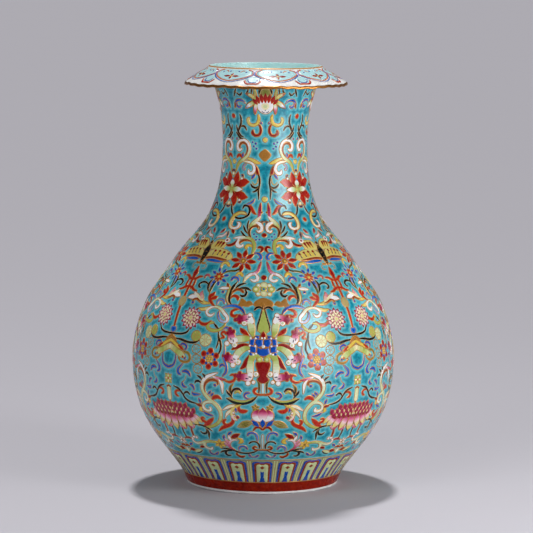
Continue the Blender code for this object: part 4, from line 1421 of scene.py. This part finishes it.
def neck_top_curls(draw):
    """The curls and dark sprays round the top of the neck."""
    stroke = draw.stroke
    stroke("crimson", (8.2, 335.4, .5), (6.2, 333.4, .9), (5.6, 330.4, 1), (7.2, 327.6, 1),
           (10.8, 326.4, 1), (14.6, 327, 1.1), (16.8, 328.8, 1.2), (16.2, 330.4, .8))
    stroke("yellow butter", (9, 343.4, .6), (8.2, 340.4, 1), (9.6, 337.2, 1.1), (13.6, 335.2, 1.1),
           (18, 335, 1.1), (22, 336.8, 1.1), (23, 339.2, 1.1), (21.6, 340.8, .8))
    draw.dot("blue", 5.2, 336.8, .9)
    stroke("black brown", (34.4, 343.6, .4), (33, 340.8, .8), (33, 337.4, .8), (34.4, 334.4, .9),
           (36.6, 331.6, .9), (37.6, 329.8, .5))
    stroke("brown black", (41, 334.4, .3), (40, 331.4, .8), (37.6, 328.4, .9), (34.4, 326, .7),
           (30, 324.8, .3))
    stroke("black", (41.4, 328.4, .5), (38.4, 326, .8), (35, 323.9, .8), (30.4, 322.9, .3))
    stroke("black brown", (33.2, 333.4, .3), (30.4, 334, .7), (27, 332.8, .8), (25.4, 330.8, .5))
    draw.dot("blue", 40.8, 323.2, .9)
    draw.dot("iron_red", 45, 342, 1.9, axis=True)
    stroke("lilac blue blue", (25, 353, .3), (28, 355.2, .8), (32, 355.9, .9), (36.4, 355.2, 1),
           (39, 353.6, .6))
    stroke("blue sky", (37.6, 353, .5), (36.6, 350.8, .9), (33.8, 349.8, .9), (31.4, 350.8, .5))
    stroke("rust", (40, 353.6, .3), (39.8, 351.4, .9), (41, 349, .3))
    stroke("black", (28.4, 362.2, .5), (29.8, 360.8, .7), (32.6, 360.4, .7), (34.8, 362, .5))
    stroke("black", (35.6, 365.4, .4), (37.2, 362.8, .8), (38.6, 360.6, .6), (39.6, 358.9, .3))


def top_lotus(draw):
    """The lotus under the flange, with red inner petals and magenta tips."""
    stroke = draw.stroke
    stroke("tan lime", (11, 358.5, .9), (12, 362, 1.2), (12.4, 365.6, .5))
    stroke("lime butter pale_green magenta", (12, 356.4, 1), (15, 359, 1.3), (19, 360.6, 1.1),
           (22.6, 361.6, .4), lift=.03)
    stroke("lime lime pale_green white lilac", (10.5, 355, 1), (15, 353.8, 1.4), (20, 351.8, 1.5),
           (24.4, 349.6, .5), lift=.05)
    stroke("lime pale_green white pink magenta", (9.6, 354.4, 1), (12, 351, 1.3),
           (12.6, 347.6, 1.1), (12.8, 344.6, .4), lift=.07)
    draw.shape("tan olive", (0, 367), (5, 366), (7.6, 363), (7, 360.6), (0, 360), axis=True,
               lift=.06)
    stroke("black", (4.8, 366.2, .4), (6.6, 364, .8), (7.4, 361.6, .4), lift=.1)
    draw.shape("white white cream pale_green", (0, 356), (5, 355.8), (9.4, 353.4), (9.6, 350),
               (6, 346.4), (0, 344.8), axis=True, lift=.05)
    for foot_angle, tip_angle, low, high in ((0, 0, 354.6, 362.4), (3.8, 5.2, 354.6, 361.6),
                                             (7.6, 10.6, 354, 359.8), (10.4, 14.6, 353, 357)):
        stroke("iron_red crimson", (foot_angle, low, .9), (0.5 * (foot_angle + tip_angle),
               0.5 * (low + high), 1.7), (tip_angle, high, .4), axis=foot_angle == 0, lift=.12,
               gilt=.35)
    draw.dot("navy", 0, 347.6, .5, axis=True, lift=.12, gilt=.15)
    stroke("navy", (.9, 345.8, .2), (2.6, 345.8, .35), (4.4, 346.8, .2), lift=.14, gilt=.15)
    stroke("black", (15, 366.4, .3), (16, 363.8, .6), (16.4, 361.9, .3))
    stroke("black", (19.6, 366, .3), (20.4, 363.6, .6), (22, 362.8, .3))


# ---------------------------------------------------------------- painted borders

LAPPETS = 23


def lappet_border():
    """The upright lappets between the scrolls and the red band, with their pillars."""
    pitch = 360.0 / LAPPETS
    draw = Motif("lappet_border", centres=[pitch * index for index in range(LAPPETS)],
                 mirrored=False, slot="lappet_enamel")
    low, high = 12.2, 36.4
    for tone, half, drop, lift in (("blue", 6.1, 0.0, 0.0), ("rust", 4.9, 1.5, 0.06),
                                   ("pale_green", 3.6, 3.2, 0.12)):
        top = high - drop
        right = ((half, low), (half, top - 2.4), (0.86 * half, top - 0.6), (0.5 * half, top),
                 (0.2 * half, top - 0.8))
        left = [(-angle, run) for angle, run in reversed(right)]
        draw.shape(tone, *right, *left, lift=lift, gilt=0.25, corners=True)
    draw.shape("rust", (0, 31), (-1.5, 29), (0, 27), (1.5, 29), lift=0.2, gilt=0.3, corners=True)
    draw.shape("blue", (1.9, low), (1.8, 26.6), (-1.8, 26.6), (-1.9, low), lift=0.2, gilt=0.3,
               relief=0.1, corners=True)
    for shift in (-0.72, 0.72):
        draw.stroke("pale_green", *((0.5 * pitch + shift, run, 0.62)
                                    for run in (low + 0.3, 24, high + 0.2)), gilt=0.3)
    draw.make()


def border_lines():
    """The gilt lines over and under the lappets."""
    draw = Motif("border_lines", centres=(0,), mirrored=False, slot="gilding")
    for run, half in ((37.9, .45), (11.7, .3)):
        ring = [(15.0 * index, run, half) for index in range(25)]
        draw.stroke("gold", *ring, gilt=.2)
    draw.make()


def flange_angle(lobe):
    """Where the middle of a lobe of the flange is; halves are the dips between two."""
    return FLANGE_CENTRE + 360.0 / FLANGE_LOBES * lobe


def on_flange(share):
    """The flange's run at this share of the way from the mouth to the edge."""
    return float(FLANGE.runs[-1]) * (1.0 - share)


def flange_painting():
    """Nine cartouches on the flange, each with a red flower."""
    spots = [flange_angle(index) for index in range(FLANGE_LOBES)]
    draw = Motif("flange_painting", surface=FLANGE, centres=spots)

    def shares(*knots):
        """Knots whose second value is a share of the way out."""
        return [(angle, on_flange(share), *rest) for angle, share, *rest in knots]

    field = ((0, .03), (8, .03), (14, .05), (18.2, .13), (18.8, .27), (15.6, .42), (9.8, .57),
             (4.6, .66), (0, .71))
    draw.shape("pale_turquoise", *shares(*field), axis=True, lift=.04, relief=.06, gilt=.02)
    for tone, grow, lift in (("violet lilac", .09, .1), ("coral", .0, .12)):
        draw.stroke(tone, *shares(*((angle * (1 + .5 * grow), share + grow * share / .7, .55)
                                    for angle, share in field[2:])), lift=lift, gilt=.1)
    for angle, share in ((4.6, .13), (12, .17)):
        draw.dot("blue", angle, on_flange(share), .85, lift=.1, gilt=.15)
    draw.stroke("coral", *shares((6.4, .17, .3), (8.2, .1, .45), (10.2, .1, .3)), lift=.1, gilt=.1)
    for knots in (((0, .40, .6), (0, .34, 1.3), (0, .27, .4)),
                  ((0, .46, .6), (0, .52, 1.3), (0, .59, .4))):
        draw.stroke("crimson", *shares(*knots), axis=True, lift=.1, gilt=.3)
    draw.stroke("crimson", *shares((1.6, .43, .6), (4.2, .43, 1.4), (6.8, .43, .4)), lift=.1,
                gilt=.3)
    draw.dot("yellow", 0, on_flange(.43), .9, axis=True, lift=.12, gilt=.2)
    draw.make()


def flange_tabs():
    """The square tabs between the cartouches."""
    spots = [flange_angle(index + 0.5) for index in range(FLANGE_LOBES)]
    draw = Motif("flange_tabs", surface=FLANGE, centres=spots)
    corners = [(angle, on_flange(share)) for angle, share in
               ((0, .88), (4.4, .84), (6.2, .7), (5.4, .46), (0, .46))]
    draw.shape("pale_turquoise", *corners, axis=True, lift=.05, relief=.06, gilt=.02, corners=True)
    for tone, share, half in (("iron_red", 1.0, .8), ("violet", .62, .5)):
        draw.stroke(tone, *((share * angle, run + 4.6 * (1.0 - share), half)
                            for angle, run in corners[:3]), lift=.12, gilt=.2)
    draw.make()


# ---------------------------------------------------------------- studio

FLOOR_RADIUS = 30.0          # metres, wide enough to run behind everything
FLOOR_HEIGHT = -0.0002       # just clear of the foot
FLOOR_COLOUR = (0.50, 0.485, 0.524, 1.0)
ROOM_GREY = (0.15, 0.15, 0.16, 1.0)
AIM = Vector((0.0, 0.0, 0.17))   # middle of the vase, which the softboxes face
SUN_TILT = (-19.6, -0.7, 0.0)    # degrees, so that it shines from behind
CAMERA_PLACE = (-0.0006, -2.695, 0.4935)
CAMERA_TILT = (83.4, -0.50, 0.0)     # degrees: nearly level, and a hair off upright
LENS = 219.1                 # millimetres, as the sensor's width is
SENSOR = 36.0


def floor():
    """A plain pale floor."""
    bpy.ops.mesh.primitive_circle_add(vertices=96, radius=FLOOR_RADIUS, fill_type="NGON",
                                      location=(0, 0, FLOOR_HEIGHT))
    ground = bpy.context.object
    ground.name = "studio_floor"
    finish, tree, shader = principled("studio_floor", Base_Color=FLOOR_COLOUR,
                                      Specular_IOR_Level=0.1)
    vary_roughness(tree, shader, 3.0, 0.72, 0.80)
    ground.data.materials.append(finish)


def put(name, data, place, turn):
    """Puts a light or the camera in the scene; turn is in radians."""
    made = bpy.data.objects.new(name, data)
    made.location = place
    made.rotation_euler = turn
    bpy.context.collection.objects.link(made)
    return made


def radians(degrees):
    """A turn given in degrees round x, y and z, in radians."""
    return tuple(math.radians(value) for value in degrees)


def softbox(name, place, size, power):
    """A rectangular soft light facing the vase, which it gives back."""
    lamp = bpy.data.lights.new(name, "AREA")
    lamp.shape = "RECTANGLE"
    lamp.size, lamp.size_y = size
    lamp.energy = power
    aim = AIM - Vector(place)
    return put(name, lamp, place, aim.to_track_quat("-Z", "Y").to_euler())


def studio():
    """A wide light from above and behind, a tall softbox on the right, a dim grey room.

    The fill and the key only light the vase, without a reflection.  The sheen does
    the opposite: it shows only as the soft streak on the glaze.
    """
    floor()
    world = bpy.data.worlds.new("studio")
    world.use_nodes = True
    world.node_tree.nodes["Background"].inputs["Color"].default_value = ROOM_GREY
    bpy.context.scene.world = world
    overhead = bpy.data.lights.new("overhead", "SUN")
    overhead.energy = 2.3
    overhead.angle = math.radians(5.0)
    put("overhead", overhead, (0.0, 0.0, 0.0), radians(SUN_TILT))
    fill = softbox("fill_left", place=(-1.0, -1.2, 1.1), size=(0.80, 0.80), power=7.0)
    fill.visible_glossy = False
    key = softbox("key_right", place=(0.78, -0.56, 0.34), size=(0.30, 0.66), power=5.4)
    key.visible_glossy = False
    sheen = softbox("sheen_right", place=(0.70, -0.66, 0.48), size=(0.50, 0.96), power=19.0)
    sheen.visible_diffuse = False
    bpy.context.scene.view_settings.view_transform = "Standard"


def camera():
    """A long lens a little above the vase, looking down at it slightly."""
    lens = bpy.data.cameras.new("camera")
    lens.lens = LENS
    lens.sensor_width = SENSOR
    bpy.context.scene.camera = put("camera", lens, CAMERA_PLACE, radians(CAMERA_TILT))


# ---------------------------------------------------------------- the vase

# The functions that draw each painted piece, from the foot up
PAINTED = {
    "foot_scroll": (foot_stalks, foot_blossom, foot_daisies),
    "pink_lotus": (lotus,),
    "blossom_scrolls": (front_bud, tall_scroll, belly_stalks, yellow_lily, belly_sprays),
    "blue_clouds": (clouds_and_pillar,),
    "central_rosette": (rosette_petals, rosette_heart),
    "plum_branches": (plum_branches,),
    "hanging_chime": (chime,),
    "shoulder_scrolls": (shoulder_front, shoulder_spirals, shoulder_leaves),
    "shoulder_flower": (shoulder_flower,),
    "star_flowers": (star_flowers,),
    "chrysanthemums": (chrysanthemums,),
    "pendants": (pendants,),
    "butterflies": (butterflies,),
    "neck_foot_scrolls": (neck_foot_curls, neck_foot_drops, neck_foot_spirals),
    "neck_flowers": (neck_flowers,),
    "neck_spirals": (neck_stalks, great_spiral, neck_top_curls),
    "top_lotus": (top_lotus,),
}

for piece_name, paintings in PAINTED.items():
    motif = Motif(piece_name)
    for paint in paintings:
        paint(motif)
    motif.make()
lappet_border()
border_lines()
flange_painting()
flange_tabs()

# The turned pieces come after the painting, which their halo follows
foot()
bowl()
tube_section("upper_body", SHOULDER_SEAM, NECK_SEAM)
tube_section("neck", NECK_SEAM, MOUTH_SEAM)
flange()
interior()
studio()
camera()
